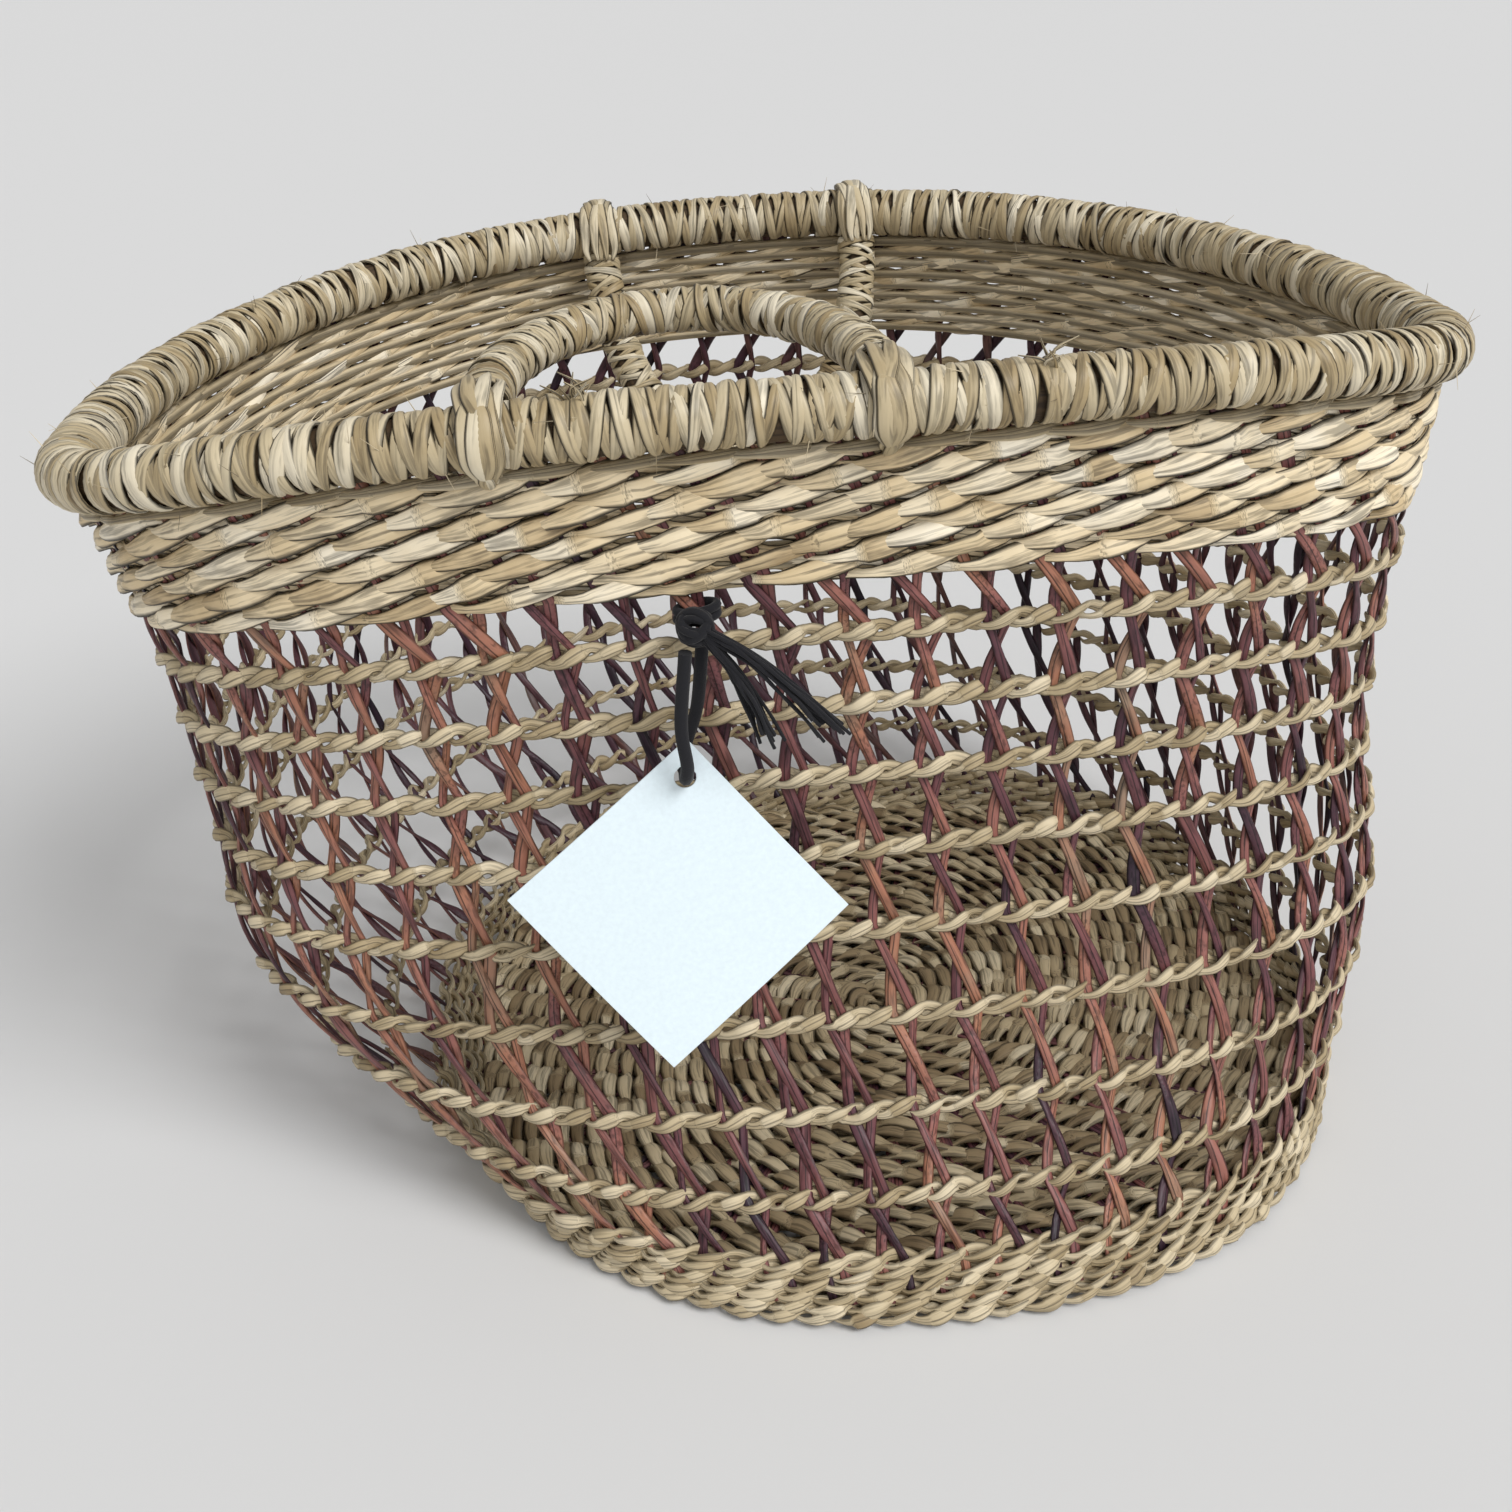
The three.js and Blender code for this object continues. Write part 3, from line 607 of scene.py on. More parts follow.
# %% The band
BAND_ROWS = 8
LEAF_TOP = BAND_TOP + 2.8
BAND_STEP = 0.38
FILLER_RADIUS = 1.5
band_pitch = (LEAF_TOP - BAND_BOTTOM) / BAND_ROWS
for row in range(BAND_ROWS):
    height = LEAF_TOP - (row + 0.5) * band_pitch
    lines = leaf_row(
        height, half_width=1.95, depth=1.9, lift=1.7, shift=BAND_STEP * row, stitches=42, swell=0.7,
        overlap=0.08,
    )
    piece = strips(f"band_twining_{row + 1}", lines, band_straw)
    nodes = [f"band_row_{row + 1}"] + (["band_lining"] if row == 0 else [])
    dress(piece, "basket", "seagrass", *nodes)
filler = twined_row(BAND_TOP + 3.4, radius=1.2, depth=1.5, lift=0.3)
filler_turns = np.arange(10 * PAIRS) / (10 * PAIRS)
for row in range(BAND_ROWS + 1):
    point, _, out = wall(filler_turns, BAND_BOTTOM + row * band_pitch)
    filler.append((point - out * FILLER_RADIUS, FILLER_RADIUS, rng.uniform(0.4, 0.9), True))
dress(strands("band_filler_cords", filler, straw), "basket", "seagrass")
print("band pitch", round(band_pitch, 2), "mm")

# %% [markdown]
# The foot of the wall is packed the same way, and the floor of the basket is twined round and round: each
# round passes over and under the stakes, which fan out from the middle.

# %% Foot and floor
FOOT_NODES = ["base_edge_row_1", "base_edge_row_2", "base_edge_row_3", "base_edge_lining"]
FOOT_PITCH = 2
FLOOR_PITCH = 3.6
FLOOR_START = 5
FLOOR_STITCH = 12
FLOOR_HALF_WIDTH = 2.5
FLOOR_DEPTH = 1.9
for row in range(6):
    height = FOOT_HEIGHT - 0.6 + row * FOOT_PITCH
    lines = leaf_row(
        height, half_width=1.6, depth=2.1, lift=0.9, shift=0.5 + 0.3 * row, stitches=84, tilt=0.1, swell=0.4,
        overlap=0.2,
    )
    piece = strips(f"foot_twining_{row + 1}", lines, straw)
    dress(piece, "basket", "pale_seagrass", *FOOT_NODES[row : row + 1])


def floor_round(radius):
    """Two closed lines of flat leaves twined round the flat stakes at a distance from the middle."""
    stitches = max(6, 2 * round(2 * math.pi * radius / FLOOR_STITCH / 2))
    steps = 8
    n = stitches * steps
    turn = np.arange(n) / n
    lines = []
    for strand in (0, 1):
        phase = math.pi * (stitches * turn + strand) + radius
        point, _, _ = wall(turn, FOOT_HEIGHT)
        sway = np.interp(turn, np.linspace(0, 1, 13), np.r_[rng.normal(0, 0.5, 12), 0])
        line = point * (radius + sway + 1.5 * np.sin(phase))[:, None] / BASE_RADIUS
        line[:, 2] = FOOT_HEIGHT + FLOOR_DEPTH * np.cos(phase)
        stitch = np.floor(stitches * turn + 0.5 * strand).astype(int) % stitches
        shade = rng.uniform(0.1, 1, stitches)[stitch]
        run = unit(np.roll(line, -1, 0) - np.roll(line, 1, 0))
        wide = unit(np.cross(UP, run) + np.outer(rng.normal(0, 0.3, stitches)[stitch], UP))
        width = FLOOR_HALF_WIDTH * (0.5 + 0.5 * np.abs(np.cos(phase)))
        lines.append((line, wide, unit(np.cross(run, wide)), width, width * LEAF_THICKNESS, shade, True))
    return lines


floor_lines = []
for radius in np.arange(FLOOR_START, BASE_RADIUS - 2, FLOOR_PITCH):
    floor_lines += floor_round(radius)
floor_leaves = strips("floor_twining", floor_lines, base_straw, 6)
dress(floor_leaves, "basket", "seagrass", "base_weave_under", "base_weave_upper")
print("floor rounds", len(floor_lines) // 2)

# %% [markdown]
# The stakes stand in pairs. Between two rows the pair crosses in an X, with the stake that leans to the
# right in front, and at each row it lies side by side, where the strands hold it. The stakes run nearly
# straight from row to row, so most of the sideways place is linear in the share of the gap passed, and a
# sine gives the front or back.

# %% Stakes
GAP_EDGES = np.array([BAND_BOTTOM] + ROW_HEIGHTS + [EDGE_TOP])
STAKE_REACH = 2.7
STAKE_FORWARD = 0.85
STRAIGHT_SHARE = 0.75
STAKES_A_FAN = 14
in_band_heights = np.linspace(STAKE_TOP, BAND_BOTTOM, 8)[:-1]
heights = np.concatenate([in_band_heights, np.linspace(BAND_BOTTOM, EDGE_TOP, 110), [9, 5.5]])
gaps_passed = np.interp(-heights, -GAP_EDGES, np.arange(len(GAP_EDGES)))


def stake(pair, side):
    """One stake of a pair, from the rim down to the foot."""
    turn = (pair + 0.5) / PAIRS
    point, along, out = wall(np.full(len(heights), turn), heights)
    phase = math.pi * (gaps_passed + side)
    reach = STAKE_REACH + rng.normal(0, 0.25)
    passed = (gaps_passed % 1) ** 0.85
    hand = np.where((np.floor(gaps_passed) + side) % 2 < 1, 1, -1)
    straight = hand * (1 - 2 * passed)
    swing = STRAIGHT_SHARE * straight + (1 - STRAIGHT_SHARE) * np.cos(phase)
    sideways = -reach * swing + rng.normal(0, 0.3)
    in_band = (heights > BAND_BOTTOM + 1) & (heights < BAND_TOP + 2)
    forward = STAKE_FORWARD * np.sin(phase) * ~in_band
    centre = point + along * sideways[:, None] + out * forward[:, None]
    run = unit(np.gradient(centre, axis=0))
    face = unit(out + along * (rng.normal(0, 0.25) + 0.35 * np.sin(2 * phase))[:, None])
    wide = unit(np.cross(face, run))
    thick = unit(np.cross(run, wide))
    width = rng.uniform(1.15, 1.7) * (1 + 0.08 * np.sin(heights / rng.uniform(9, 17) + rng.uniform(0, 6)))
    gap_shades = rng.beta(1.6, 1.8) + rng.normal(0, 0.14, len(GAP_EDGES))
    shades = np.interp(gaps_passed, np.arange(len(GAP_EDGES)), gap_shades)
    half_thick = np.where(in_band, 0.3, rng.uniform(0.5, 0.7))
    return centre, wide, thick, width, half_thick, np.clip(shades, 0, 1), False


stake_lines = [stake(pair, side) for pair in range(PAIRS) for side in (0, 1)]
for fan in range(8):
    lines = stake_lines[fan * STAKES_A_FAN : (fan + 1) * STAKES_A_FAN]
    dress(strips(f"stakes_{fan + 1}", lines, rush), "basket", "rush", f"stake_fan_{fan + 1}")

SPOKE_STEPS = 24
SPOKE_STARTS = (0.12, 0.5, 0.3, 0.5)
SPOKE_REACH = 1.6
spokes = []
for pair in range(PAIRS):
    for side in (-SPOKE_REACH, SPOKE_REACH):
        foot, along, _ = wall(np.array([(pair + 0.5) / PAIRS]), FOOT_HEIGHT)
        share = np.linspace(SPOKE_STARTS[pair % 4], 1, SPOKE_STEPS)[:, None]
        line = foot * share + along * side * share
        line[:, 2] = FOOT_HEIGHT
        across = np.repeat(along, SPOKE_STEPS, 0)
        above = np.tile(UP, (SPOKE_STEPS, 1))
        spokes.append((line, across, above, 1.2, 0.6, rng.uniform(0, 0.5), False))
dress(strips("floor_spokes", spokes, rush, 6), "basket", "rush")
print("stakes", len(stake_lines), "spokes", len(spokes))

# %% [markdown]
# The rim is a bundle wound with seagrass strip in two directions, so that the strips cross along its outer
# side. Here each strip goes once round, half of them slant each way, and each has its own shade.

# %% The rim
def between(t, low, high, start, end):
    """The value at t on the straight way from start at low to end at high."""
    return ((high - t) * start + (t - low) * end) / (high - low)


def smooth_line(points, count):
    """A centripetal curve through points, evenly spaced."""
    points = np.asarray(points, float)
    knots = np.concatenate([[0], np.cumsum(np.linalg.norm(np.diff(points, axis=0), axis=1) ** 0.5)])
    ends = np.vstack([2 * points[0] - points[1], points, 2 * points[-1] - points[-2]])
    times = np.concatenate([[-knots[1]], knots, [2 * knots[-1] - knots[-2]]])
    fine = []
    for t in np.linspace(0, knots[-1], 400):
        i = min(max(np.searchsorted(knots, t, "right"), 1), len(points) - 1)
        p, k = ends[i - 1 : i + 3], times[i - 1 : i + 3]
        a = [between(t, k[j], k[j + 1], p[j], p[j + 1]) for j in range(3)]
        b = [between(t, k[j], k[j + 2], a[j], a[j + 1]) for j in range(2)]
        fine.append(between(t, k[1], k[2], b[0], b[1]))
    fine = np.array(fine)
    lengths = np.concatenate([[0], np.cumsum(np.linalg.norm(np.diff(fine, axis=0), axis=1))])
    at = np.linspace(0, lengths[-1], count)
    return np.stack([np.interp(at, lengths, fine[:, k]) for k in range(3)], 1), lengths[-1]


def frame_along(line):
    """Directions along a closed line, and outward and up across it."""
    run = unit(np.roll(line, -1, 0) - np.roll(line, 1, 0))
    out = unit(np.stack([run[:, 1], -run[:, 0], np.zeros(len(run))], 1))
    return run, out, np.cross(out, run)


def tube_point(line, directions, at, angle, radius):
    """Points round a tube whose centreline is line, at fractional steps of it."""
    run, out, above = directions
    i = np.floor(at).astype(int) % len(line)
    j = (i + 1) % len(line)
    f = (at - np.floor(at))[:, None]
    mix = lambda v: v[i] * (1 - f) + v[j] * f
    normal = unit(mix(out) * np.cos(angle)[:, None] + mix(above) * np.sin(angle)[:, None])
    return mix(line) + normal * np.broadcast_to(radius, len(angle))[:, None], normal, unit(mix(run))


rim_line = outline(RIM_HEIGHT, WALL_STEPS)
rim_directions = frame_along(rim_line)
if rim_directions[2][0][2] < 0:
    rim_directions = (rim_directions[0], rim_directions[1], -rim_directions[2])


TURN_STEPS = 24
TUCKED_SIDE = -math.pi / 2


def wound(line, directions, count, shift, radius, half_width, half_thick, closed=True):
    """Leaf strips laid once round a tube, half of them slanting each way, with their ends tucked in below."""
    length = np.linalg.norm(np.diff(line, axis=0), axis=1).sum()
    share = np.linspace(0, 1, TURN_STEPS)
    tucked = np.sin(math.pi * share) ** 0.35
    lines = []
    for hand in (1, -1):
        for i in range(count):
            angle = TUCKED_SIDE + 2 * math.pi * share
            slant = (hand * shift * rng.uniform(0.5, 1.5) + rng.normal(0, 1.5)) / length
            place = (i + 0.5 + 0.25 * hand + rng.normal(0, 0.1)) / count + slant * (share - 0.5)
            at = place * len(line) if closed else np.clip(place, 0, 0.9995) * (len(line) - 1)
            face = np.abs(np.cos(angle - 0.3))
            lifted = radius - 1.2 + 1.2 * tucked + 0.3 * face + rng.uniform(-0.3, 0.3)
            centre, normal, run = tube_point(line, directions, at, angle, lifted)
            path = unit(np.gradient(centre, axis=0))
            lean = rng.normal(0, 0.2)
            wide = unit(np.cross(path, normal + run * lean))
            width = half_width * (0.55 + 0.45 * face) * rng.uniform(0.8, 1.2) * (0.6 + 0.4 * tucked)
            outward = unit(np.cross(wide, path))
            lines.append((centre, wide, outward, width, half_thick, rng.uniform(0.25, 1), False))
    return lines


RIM_RADIUS = 6.9
RIM_CORE_RADIUS = 6.2
rim_wraps = wound(
    rim_line, rim_directions, count=235, shift=8, radius=RIM_RADIUS, half_width=1.95, half_thick=0.55,
)
dress(strips("rim_winding", rim_wraps, wrap_straw), "basket", "pale_seagrass", "rim_wrap")
# The bundle's dark straw is painted shadow, seen in the slits between the strips.
rim_core = strands("rim_bundle", [(rim_line[::5], RIM_CORE_RADIUS, 0.3, True)], painted_shadow_straw, 14)
dress(rim_core, "basket", "cane", "rim_core")
print("rim strips", len(rim_wraps))

# %% [markdown]
# Each handle is a cane arch wound in the same way, on the line that its solid follows: it stands off the
# rim on the side that the lashings leave it. The straps that hold its feet go round the rim, wide in front
# and narrow below, where they pass between two pairs of stakes.

# %% Handles
FRONT_MIDDLE = (-55.547, -77.178, 219.478)
FRONT_ALONG = (0.999, -0.018, 0.029)
BACK_MIDDLE = (-27.137, 157.325, 210.283)
BACK_ALONG = (-0.999, 0.027, -0.028)
FRONT_SPAN = 84.58
BACK_SPAN = 83.68
FRONT_ANGLE = math.radians(90)
BACK_ANGLE = math.radians(26)
HANDLE_RADIUS = 5.3
CANE_RADIUS = 4.9
STRIP_PITCH = 3.3
STRAP_RADIUS = 9.1
LASH_STEPS = 44
LASH_HALF_WIDTH = 1.75
LEG_OFFSET = 4
LEG_START = 9.6
REACH = 75
ARCH_POWER = 2.05


LEAF_PLACES = ((-1, 1), (1, -1), (-0.5, -1), (0.55, 1), (0.05, -1), (-0.2, 1))


def handle_frame(middle, along, angle, span):
    middle, along = np.array(middle, float), unit(np.array(along, float))
    rise = unit(UP - along * along[2])
    inward = np.cross(rise, along)
    reach = inward * math.sin(angle) - rise * math.cos(angle)
    side = inward * math.cos(angle) + rise * math.sin(angle)
    return middle, along, reach, side, span


def arch(handle, count=160):
    """The handle's centreline with the directions out of the arch and off the rim."""
    middle, along, reach, side, span = handle
    turn = np.linspace(0, math.pi, count)
    power = lambda v: np.sign(v) * np.abs(v) ** (2 / ARCH_POWER)
    x = -power(np.cos(turn)) * span / 2
    z = LEG_START + power(np.sin(turn)) * (REACH - LEG_START)
    even = np.concatenate([[0], np.cumsum(np.hypot(np.diff(x), np.diff(z)))])
    at = np.linspace(0, even[-1], count)
    x, z = np.interp(at, even, x), np.interp(at, even, z)
    line = middle + np.outer(x, along) + np.outer(z, reach) + side * LEG_OFFSET
    run = unit(np.gradient(line, axis=0))
    across = np.broadcast_to(side, line.shape)
    return line, (run, np.cross(run, across), across), even[-1]


def lashing(handle, end):
    """The leaves that hold one foot: from the leg over the rim, down its far side and round below it."""
    middle, along, reach, side, span = handle
    foot = middle + along * end * span / 2
    turns = np.radians([-14, -45, -75, -105, -135, -165, -195, -225])
    route = [(LEG_OFFSET + 5.1, 11), (LEG_OFFSET + 5.7, 8), (10.2, 4)]
    route += [(STRAP_RADIUS * math.cos(t), STRAP_RADIUS * math.sin(t)) for t in turns]
    spread = [2.6, 3.1, 3.6, 3.9, 3.9, 3.5, 2.6, 1.7, 1.2, 1.1, 1.1]
    swell = [0.3, 0.7, 0.95, 1.05, 1.15, 1.1, 0.95, 0.7, 0.5, 0.4, 0.4]
    lines = []
    for layer, (place, hand) in enumerate(LEAF_PLACES):
        points = []
        for step, ((s, r), wide_at) in enumerate(zip(route, spread)):
            crossing = hand * 1.6 * math.sin((step - 3.5) * 0.6) * (step < 7)
            x = place * wide_at * 0.85 + crossing + rng.normal(0, 0.2)
            lower = (place * wide_at) ** 2 * 0.05 * (r > 3)
            points.append(foot + along * x + side * (s - lower) + reach * r)
        line, _ = smooth_line(points, LASH_STEPS)
        path = unit(np.gradient(line, axis=0))
        wide = unit(along - path * (path @ along)[:, None])
        out = unit(np.cross(wide, path))
        away = 1 if np.dot(out[20], line[20] - foot) > 0 else -1
        line = line + out * ((0.3 + 0.22 * layer) * (1 - abs(place)) * away)
        swelling = np.interp(np.linspace(0, 1, LASH_STEPS), np.linspace(0, 1, len(swell)), swell)
        width = LASH_HALF_WIDTH * swelling * rng.uniform(0.9, 1.15)
        lines.append((line, wide, out, width, 0.55, rng.uniform(0.45, 0.95), False))
    return lines


handles = {
    "handle_front": handle_frame(FRONT_MIDDLE, FRONT_ALONG, FRONT_ANGLE, FRONT_SPAN),
    "handle_back": handle_frame(BACK_MIDDLE, BACK_ALONG, BACK_ANGLE, BACK_SPAN),
}
for name, handle in handles.items():
    line, directions, length = arch(handle)
    count = round(length / STRIP_PITCH)
    winding = wound(
        line, directions, count, shift=11, radius=HANDLE_RADIUS, half_width=1.6, half_thick=0.45,
        closed=False,
    )
    dress(strips(name + "_winding", winding, wrap_straw), name, "pale_seagrass", name + "_wrap")
    # The cane's dark straw is painted shadow, seen in the slits between the wound strips.
    cane = strands(name + "_cane", [(line[::4], CANE_RADIUS, 0.3, False)], painted_shadow_straw, 10)
    dress(cane, name, "cane", name + "_core")
    for end, side_name in ((-1, "left"), (1, "right")):
        lashes = strips(f"{name}_lashing_{side_name}", lashing(handle, end), wrap_straw)
        dress(lashes, name, "seagrass", f"{name}_strap_{side_name}")
    print(name, "strips", 2 * count, "length", round(length))

# %% [markdown]
# Dry seagrass frays. One small tree scatters short fibres over the rim's winding, with a fixed seed, and
# two tufts stand off the rim where the photograph has them.

# %% Frayed fibres
FIBRE_INPUTS = [
    ("Seed", "Int"), ("Share", "Float"), ("Length", "Float"), ("Thickness", "Float"),
    ("Material", "Material"),
]
FIBRE_BEND = 0.9
FIBRE_SHARE = 0.003
FIBRE_LENGTH = 5
FIBRE_RADIUS = 0.12
TUFTS = ((0.1845, 1.4, 9), (0.2885, 1.3, 7))
TUFT_ROOT = 6.5
TUFT_STEPS = 9


def fibre_tree():
    tree, given = start_tree("scatter_fibres", FIBRE_INPUTS)
    nodes, links = tree.nodes, tree.links
    chosen = nodes.new("FunctionNodeRandomValue")
    chosen.data_type = "BOOLEAN"
    fibre = nodes.new("GeometryNodeMeshCone")
    for key, value in (("Vertices", 5), ("Radius Top", 0.3), ("Radius Bottom", 1), ("Depth", 1)):
        fibre.inputs[key].default_value = value
    place = nodes.new("GeometryNodeInstanceOnPoints")
    normal = nodes.new("GeometryNodeInputNormal")
    align = nodes.new("FunctionNodeAlignRotationToVector")
    align.axis = "Z"
    bend = nodes.new("FunctionNodeRandomValue")
    bend.data_type = "FLOAT_VECTOR"
    bend.inputs[0].default_value = (-FIBRE_BEND, -FIBRE_BEND, -FIBRE_BEND)
    bend.inputs[1].default_value = (FIBRE_BEND, FIBRE_BEND, FIBRE_BEND)
    lean = nodes.new("ShaderNodeVectorMath")
    size = nodes.new("ShaderNodeCombineXYZ")
    links.new(given.outputs["Share"], chosen.inputs["Probability"])
    for node in (chosen, bend):
        links.new(given.outputs["Seed"], node.inputs["Seed"])
    links.new(normal.outputs[0], lean.inputs[0])
    links.new(bend.outputs[0], lean.inputs[1])
    links.new(lean.outputs[0], align.inputs["Vector"])
    for axis, key in (("X", "Thickness"), ("Y", "Thickness"), ("Z", "Length")):
        links.new(given.outputs[key], size.inputs[axis])
    links.new(given.outputs["Geometry"], place.inputs["Points"])
    links.new(chosen.outputs[3], place.inputs["Selection"])
    links.new(fibre.outputs["Mesh"], place.inputs["Instance"])
    links.new(align.outputs[0], place.inputs["Rotation"])
    links.new(size.outputs[0], place.inputs["Scale"])
    return finish_tree(tree, given, place.outputs[0])


rim_skin = bpy.data.objects["rim_winding"].data.copy()
fibres = run_tree(
    "rim_fibres", rim_skin, fibre_tree(), Seed=3, Share=FIBRE_SHARE, Length=FIBRE_LENGTH * MM,
    Thickness=FIBRE_RADIUS * MM, Material=straw,
)
set_outward(fibres)
dress(fibres, "basket", "pale_seagrass")
print("fibres", len(fibres.data.vertices) // 10)

loose = []
for turn, angle, count in TUFTS:
    for i in range(count):
        at = np.array([(turn + rng.normal(0, 0.001)) * len(rim_line)])
        toward = np.array([angle + rng.normal(0, 0.2)])
        root, normal, run = tube_point(rim_line, rim_directions, at, toward, TUFT_ROOT)
        side_way = unit(normal[0] + run[0] * rng.normal(0, 0.7) + UP * 0.3)
        reach = rng.uniform(3, 6.5)
        end = root[0] + side_way * reach + run[0] * rng.normal(0, 3)
        line, _ = smooth_line([root[0], root[0] + side_way * reach * 0.55, end], TUFT_STEPS)
        loose.append((line, 0.35 * np.linspace(1.3, 0.4, TUFT_STEPS), rng.uniform(0.3, 0.9), False))
dress(strands("rim_tufts", loose, wrap_straw, 5), "basket", "pale_seagrass")
print("tuft fibres", len(loose))

# %% [markdown]
# The hang tag is a stiff white card on a soft black cotton string. The string is a free cord: it leaves its
# knot, passes through the hole and comes back, so its length is twice the drop and the turn.

# %% Tag
def plain_material(name, color, roughness, bump_scale, bump_depth, sheen=0.0):
    material, tree, shader = start_material(name, roughness)
    shader.inputs["Sheen Weight"].default_value = sheen
    grain = noise(tree, object_place(tree), bump_scale, 5)
    shade = shade_ramp(tree, grain, [[0.93 * c for c in color], color])
    finish_shader(tree, shader, shade, grain, 0.4, bump_depth)
    return material


cotton = plain_material("black_cotton", (17, 17, 23), 0.95, 2500, 0.3, 0.1)
card_white = plain_material("white_card", (230, 244, 250), 0.5, 900, 0.05)

PIVOT = np.array([-56.033, -79.95, 173.385])
LEVEL = np.array([1.0, -0.011, 0.0])
INTO = np.array([0.011, 1.0, 0.0])
SLANT = math.radians(6.3)
KNOT = 5
STRING_DIAMETER = 3.2
STRING_BEND = 5
STRING_SPREAD = 2
STRING_DROP = 32.5
TAIL_ROUTES = (
    ((2, -2, -1), (8, -5, -7), (14, -5.5, -16), (17, -5, -22)),
    ((2, -2, 0), (12, -6, -4), (22, -6.5, -12), (30, -5, -20)),
)
TAIL_THREADS = 18
KNOT_RINGS = 10
LOOP_PAIR = 10.5
LOOP_DROP = 5.5
LOOP_RADIUS = 1.05
LOOP_ACROSS = 4.6
LOOP_THROUGH = 2.9
THREAD_RADIUS = 0.42
top_z = -KNOT - 0.3
hole_z = top_z - STRING_DROP
turn_z = hole_z + STRING_BEND


def hang(x, y, z):
    """A point of the tag's own frame: x level, y into the basket, z up the slanting string."""
    level = x * math.cos(SLANT) + z * math.sin(SLANT)
    return PIVOT + LEVEL * level + INTO * y + UP * (z * math.cos(SLANT) - x * math.sin(SLANT))


def string_strand(side):
    return [
        (side * STRING_SPREAD, side * STRING_SPREAD, top_z),
        (side * STRING_SPREAD, side * STRING_SPREAD, top_z - STRING_DIAMETER),
        (side * STRING_SPREAD, side * STRING_BEND, turn_z + STRING_BEND * 2),
    ]


route = string_strand(-1)
for a in np.linspace(0, math.pi, 5):
    route.append((0, -STRING_BEND * math.cos(a), turn_z - STRING_BEND * math.sin(a)))
route += string_strand(1)[::-1]
route = np.array([hang(*p) for p in route])

string_line, string_length = smooth_line(route, 60)
string = strands("tag_cord", [(string_line, STRING_DIAMETER / 2, 0.5, False)], cotton, 8)
print("string", round(string_length, 1), "mm")

knot_lines = []
for i in range(KNOT_RINGS):
    a = np.linspace(0, 2 * math.pi, 28)
    tilt = i * 0.6
    spin = rng.uniform(0, 6)
    circle = np.stack([np.cos(a), np.sin(a) * math.cos(tilt), np.sin(a) * math.sin(tilt)], 1)
    ring = rng.uniform(2.2, 3.8) * circle
    c, s = math.cos(spin), math.sin(spin)
    ring = ring @ np.array([[c, -s, 0], [s, c, 0], [0, 0, 1]])
    knot_lines.append((np.array([hang(*p) for p in ring]), rng.uniform(0.7, 1.2), 0.5, True))
for tail in TAIL_ROUTES:
    line, _ = smooth_line([hang(*p) for p in tail], 20)
    knot_lines.append((line, 1.0, 0.5, False))
    for thread in range(TAIL_THREADS):
        aside = rng.normal(0, 1, 3)
        way = np.linspace(0, 1, 20)[:, None]
        wave = 0.3 * np.sin(way * rng.uniform(9, 16) + rng.uniform(0, 6)) * rng.normal(0, 1, 3)
        longer = (line[-1] - line[-4]) * way**3 * rng.uniform(-0.4, 1.1)
        knot_lines.append((line + aside * (0.5 + 0.9 * way**2) + wave + longer, THREAD_RADIUS, 0.5, False))
knot = strands("tag_knot_and_tails", knot_lines, cotton, 8)
dress(knot, "tag", "cotton", "tag_knot")

loop_point, loop_along, loop_out = wall(np.array([LOOP_PAIR / PAIRS]), BAND_BOTTOM - LOOP_DROP)
a = np.linspace(0, 2 * math.pi, 32, endpoint=False)
loop_lines = []
for drop in (0, 2 * LOOP_RADIUS):
    across = np.outer(LOOP_ACROSS * np.cos(a), loop_along[0])
    ring = loop_point + across + np.outer(LOOP_THROUGH * np.sin(a), loop_out[0])
    ring[:, 2] += 0.6 - drop + 0.6 * np.cos(a)
    loop_lines.append((ring, LOOP_RADIUS, 0.5, True))
dress(strands("tag_loop_turns", loop_lines, cotton, 8), "basket", "cotton", "tag_loop")

# %% [markdown]
# The card is a thin square sheet with a round hole near the corner it hangs by. It is modelled flat and
# curled a little, and it is bare.

# %% Card
CARD_SIDE = 57
CARD_THICKNESS = 0.6
CARD_TILT = math.radians(0.25)
CARD_LEAN = math.radians(16)
CARD_CURL = 0.0011
CARD_EDGE = 0.12
HOLE_RADIUS = 2.6
HOLE_INSET = 9
SIDE_STEPS = 12
RING_SHARES = (0, 0.04, 0.12, 0.25, 0.4, 0.55, 0.7, 0.85, 1)


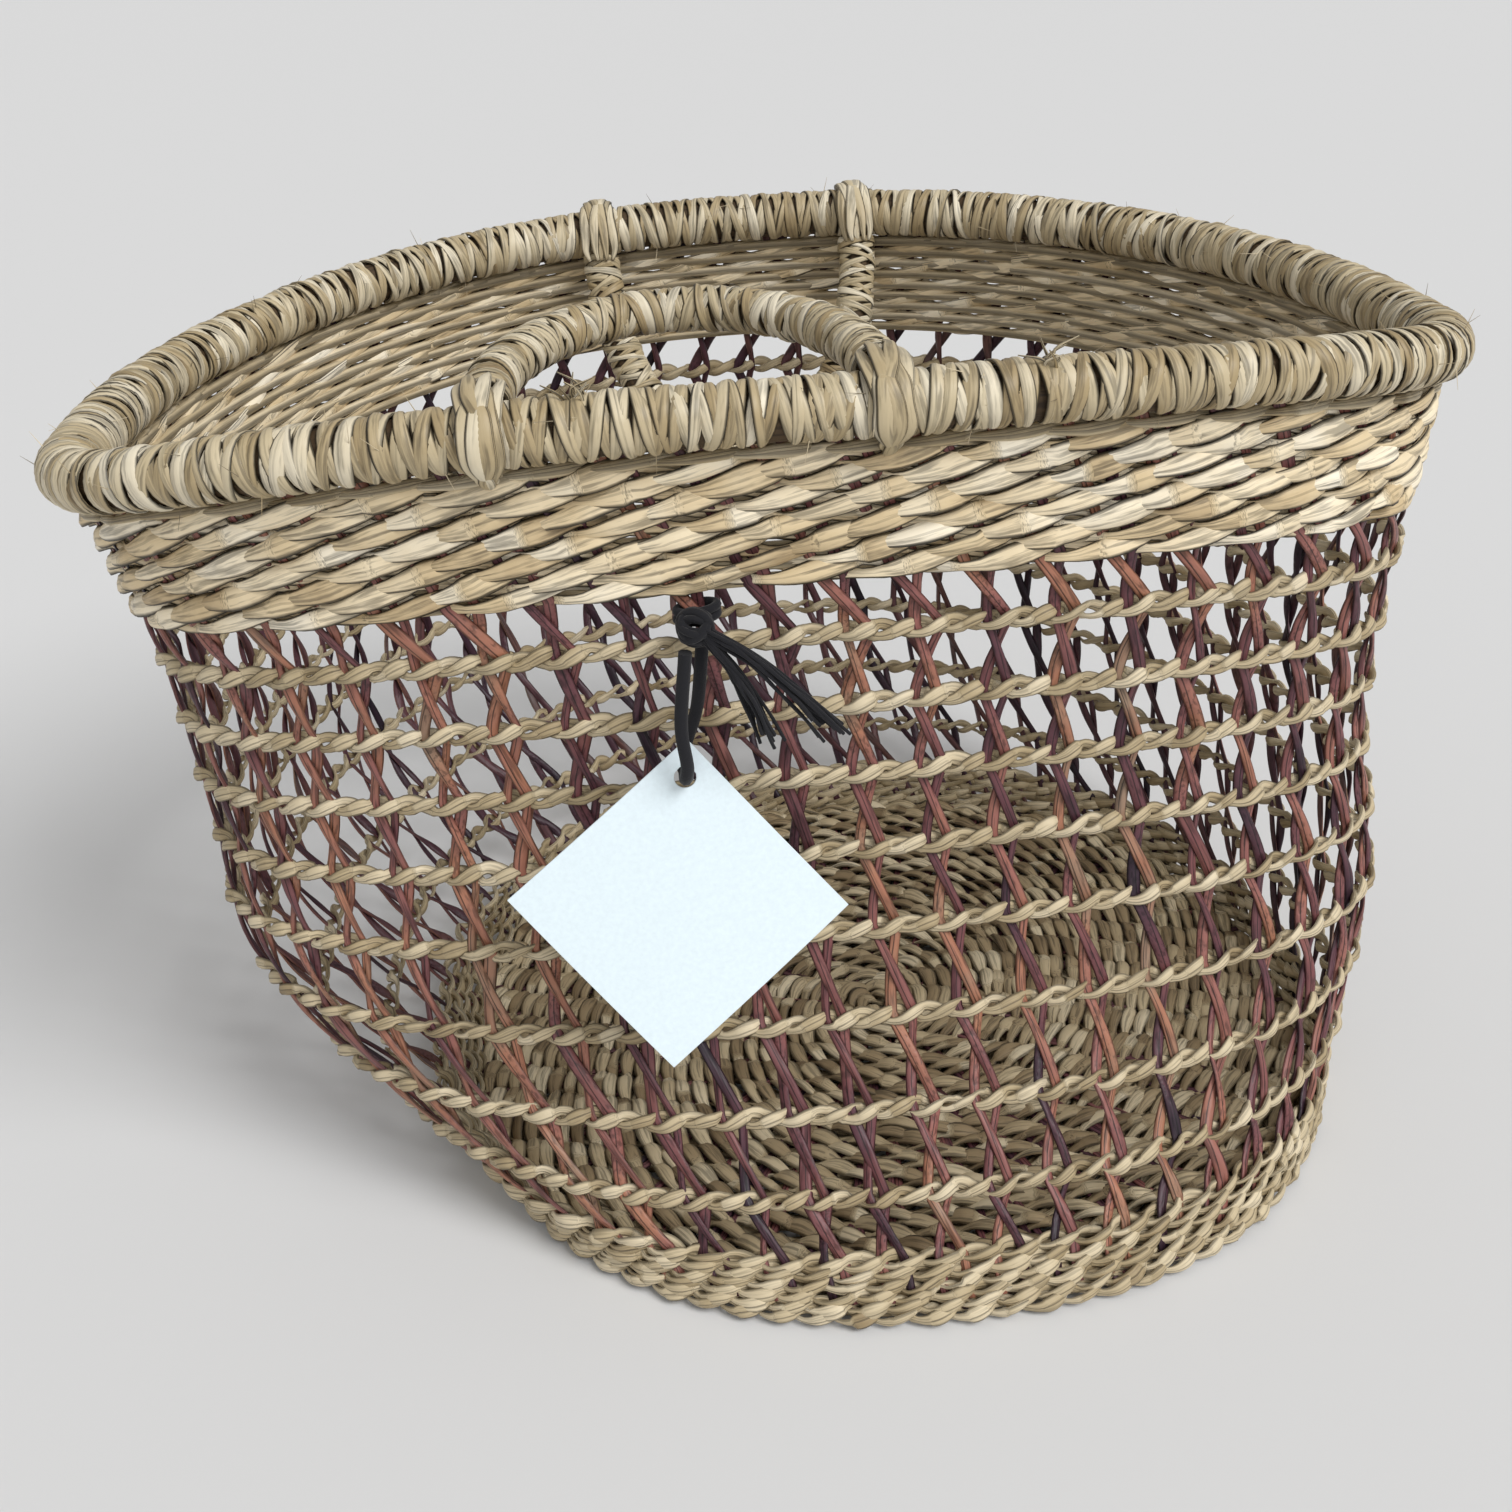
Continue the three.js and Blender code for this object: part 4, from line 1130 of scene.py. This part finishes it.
def card_sheet():
    """A square card with a hole near its top corner, hung by it, slightly curled."""
    at = CARD_SIDE / 2 - HOLE_INSET / math.sqrt(2)
    work = bmesh.new()
    corners = np.array([(-1, -1), (1, -1), (1, 1), (-1, 1)])
    share = np.arange(SIDE_STEPS)[:, None] / SIDE_STEPS
    sides = [corners[k] + (corners[(k + 1) % 4] - corners[k]) * share for k in range(4)]
    outer = np.vstack(sides) * CARD_SIDE / 2
    angles = np.arctan2(outer[:, 1] - at, outer[:, 0] - at)
    inner = at + HOLE_RADIUS * np.stack([np.cos(angles), np.sin(angles)], 1)
    rings = [inner + (outer - inner) * f for f in RING_SHARES]
    grid = []
    for ring in rings:
        row = []
        for x, y in ring - at:
            u, v = (x - y) / math.sqrt(2), (x + y) / math.sqrt(2)
            curl = CARD_CURL * u * u
            across = u * math.cos(CARD_TILT) - v * math.sin(CARD_TILT)
            down = u * math.sin(CARD_TILT) + v * math.cos(CARD_TILT)
            back = curl * math.cos(CARD_LEAN) + down * math.sin(CARD_LEAN)
            row.append(work.verts.new(tuple(hang(across, back, hole_z + down * math.cos(CARD_LEAN)) * MM)))
        grid.append(row)
    for r in range(len(grid) - 1):
        for i in range(len(outer)):
            j = (i + 1) % len(outer)
            work.faces.new((grid[r][i], grid[r][j], grid[r + 1][j], grid[r + 1][i]))
    mesh = bpy.data.meshes.new("tag_card_sheet")
    work.to_mesh(mesh)
    work.free()
    piece = add_object("tag_card_sheet", mesh)
    mesh.materials.append(card_white)
    solidify = piece.modifiers.new("thickness", "SOLIDIFY")
    solidify.thickness = CARD_THICKNESS * MM
    solidify.offset = 0
    bevel = piece.modifiers.new("edges", "BEVEL")
    bevel.width = CARD_EDGE * MM
    bevel.segments = 2
    bevel.limit_method = "ANGLE"
    return piece


card = card_sheet()
dress(card, "tag", "cardboard", "tag_card")
dress(string, "tag", "cotton", "tag_string")
print("card and string done")

# %% [markdown]
# The photograph's basket stands on a pale seamless floor in soft light, with its shadow to the left. A
# large plane does it, with a very wide sun from the right and in front of the basket, a weak wide one from
# the front that opens the shadows between the strands, and a bright even world.

# %% Floor and light
FLOOR_REACH = 8
floor_mesh = bpy.data.meshes.new("studio_floor")
floor_corners = [(x * FLOOR_REACH, y * FLOOR_REACH, 0) for x, y in ((-1, -1), (1, -1), (1, 1), (-1, 1))]
floor_mesh.from_pydata(floor_corners, [], [(0, 1, 2, 3)])
floor = add_object("studio_floor", floor_mesh)
paper, _, paper_shader = start_material("studio_paper", 0.9)
paper_shader.inputs["Base Color"].default_value = linear(215, 215, 215)
floor_mesh.materials.append(paper)


def sun(name, place, spread, power):
    light = bpy.data.lights.new(name, "SUN")
    light.angle = math.radians(spread)
    light.energy = power
    add_object(name, light).rotation_euler = (-Vector(place)).to_track_quat("-Z", "Y").to_euler()


sun("key", (0.98, -0.95, 1.5), 32, 2.3)
sun("fill", (-0.1, -1, 0.5), 50, 0.45)
world = bpy.data.worlds.new("studio")
bpy.context.scene.world = world
world.use_nodes = True
sky = world.node_tree.nodes["Background"]
sky.inputs["Color"].default_value = (1, 1, 1, 1)
sky.inputs["Strength"].default_value = 0.43
bpy.context.scene.view_settings.view_transform = "Standard"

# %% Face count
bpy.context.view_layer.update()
shown = [o for o in bpy.data.objects if o.type == "MESH" and not o.hide_render]
print("faces", sum(len(o.data.polygons) for o in shown))
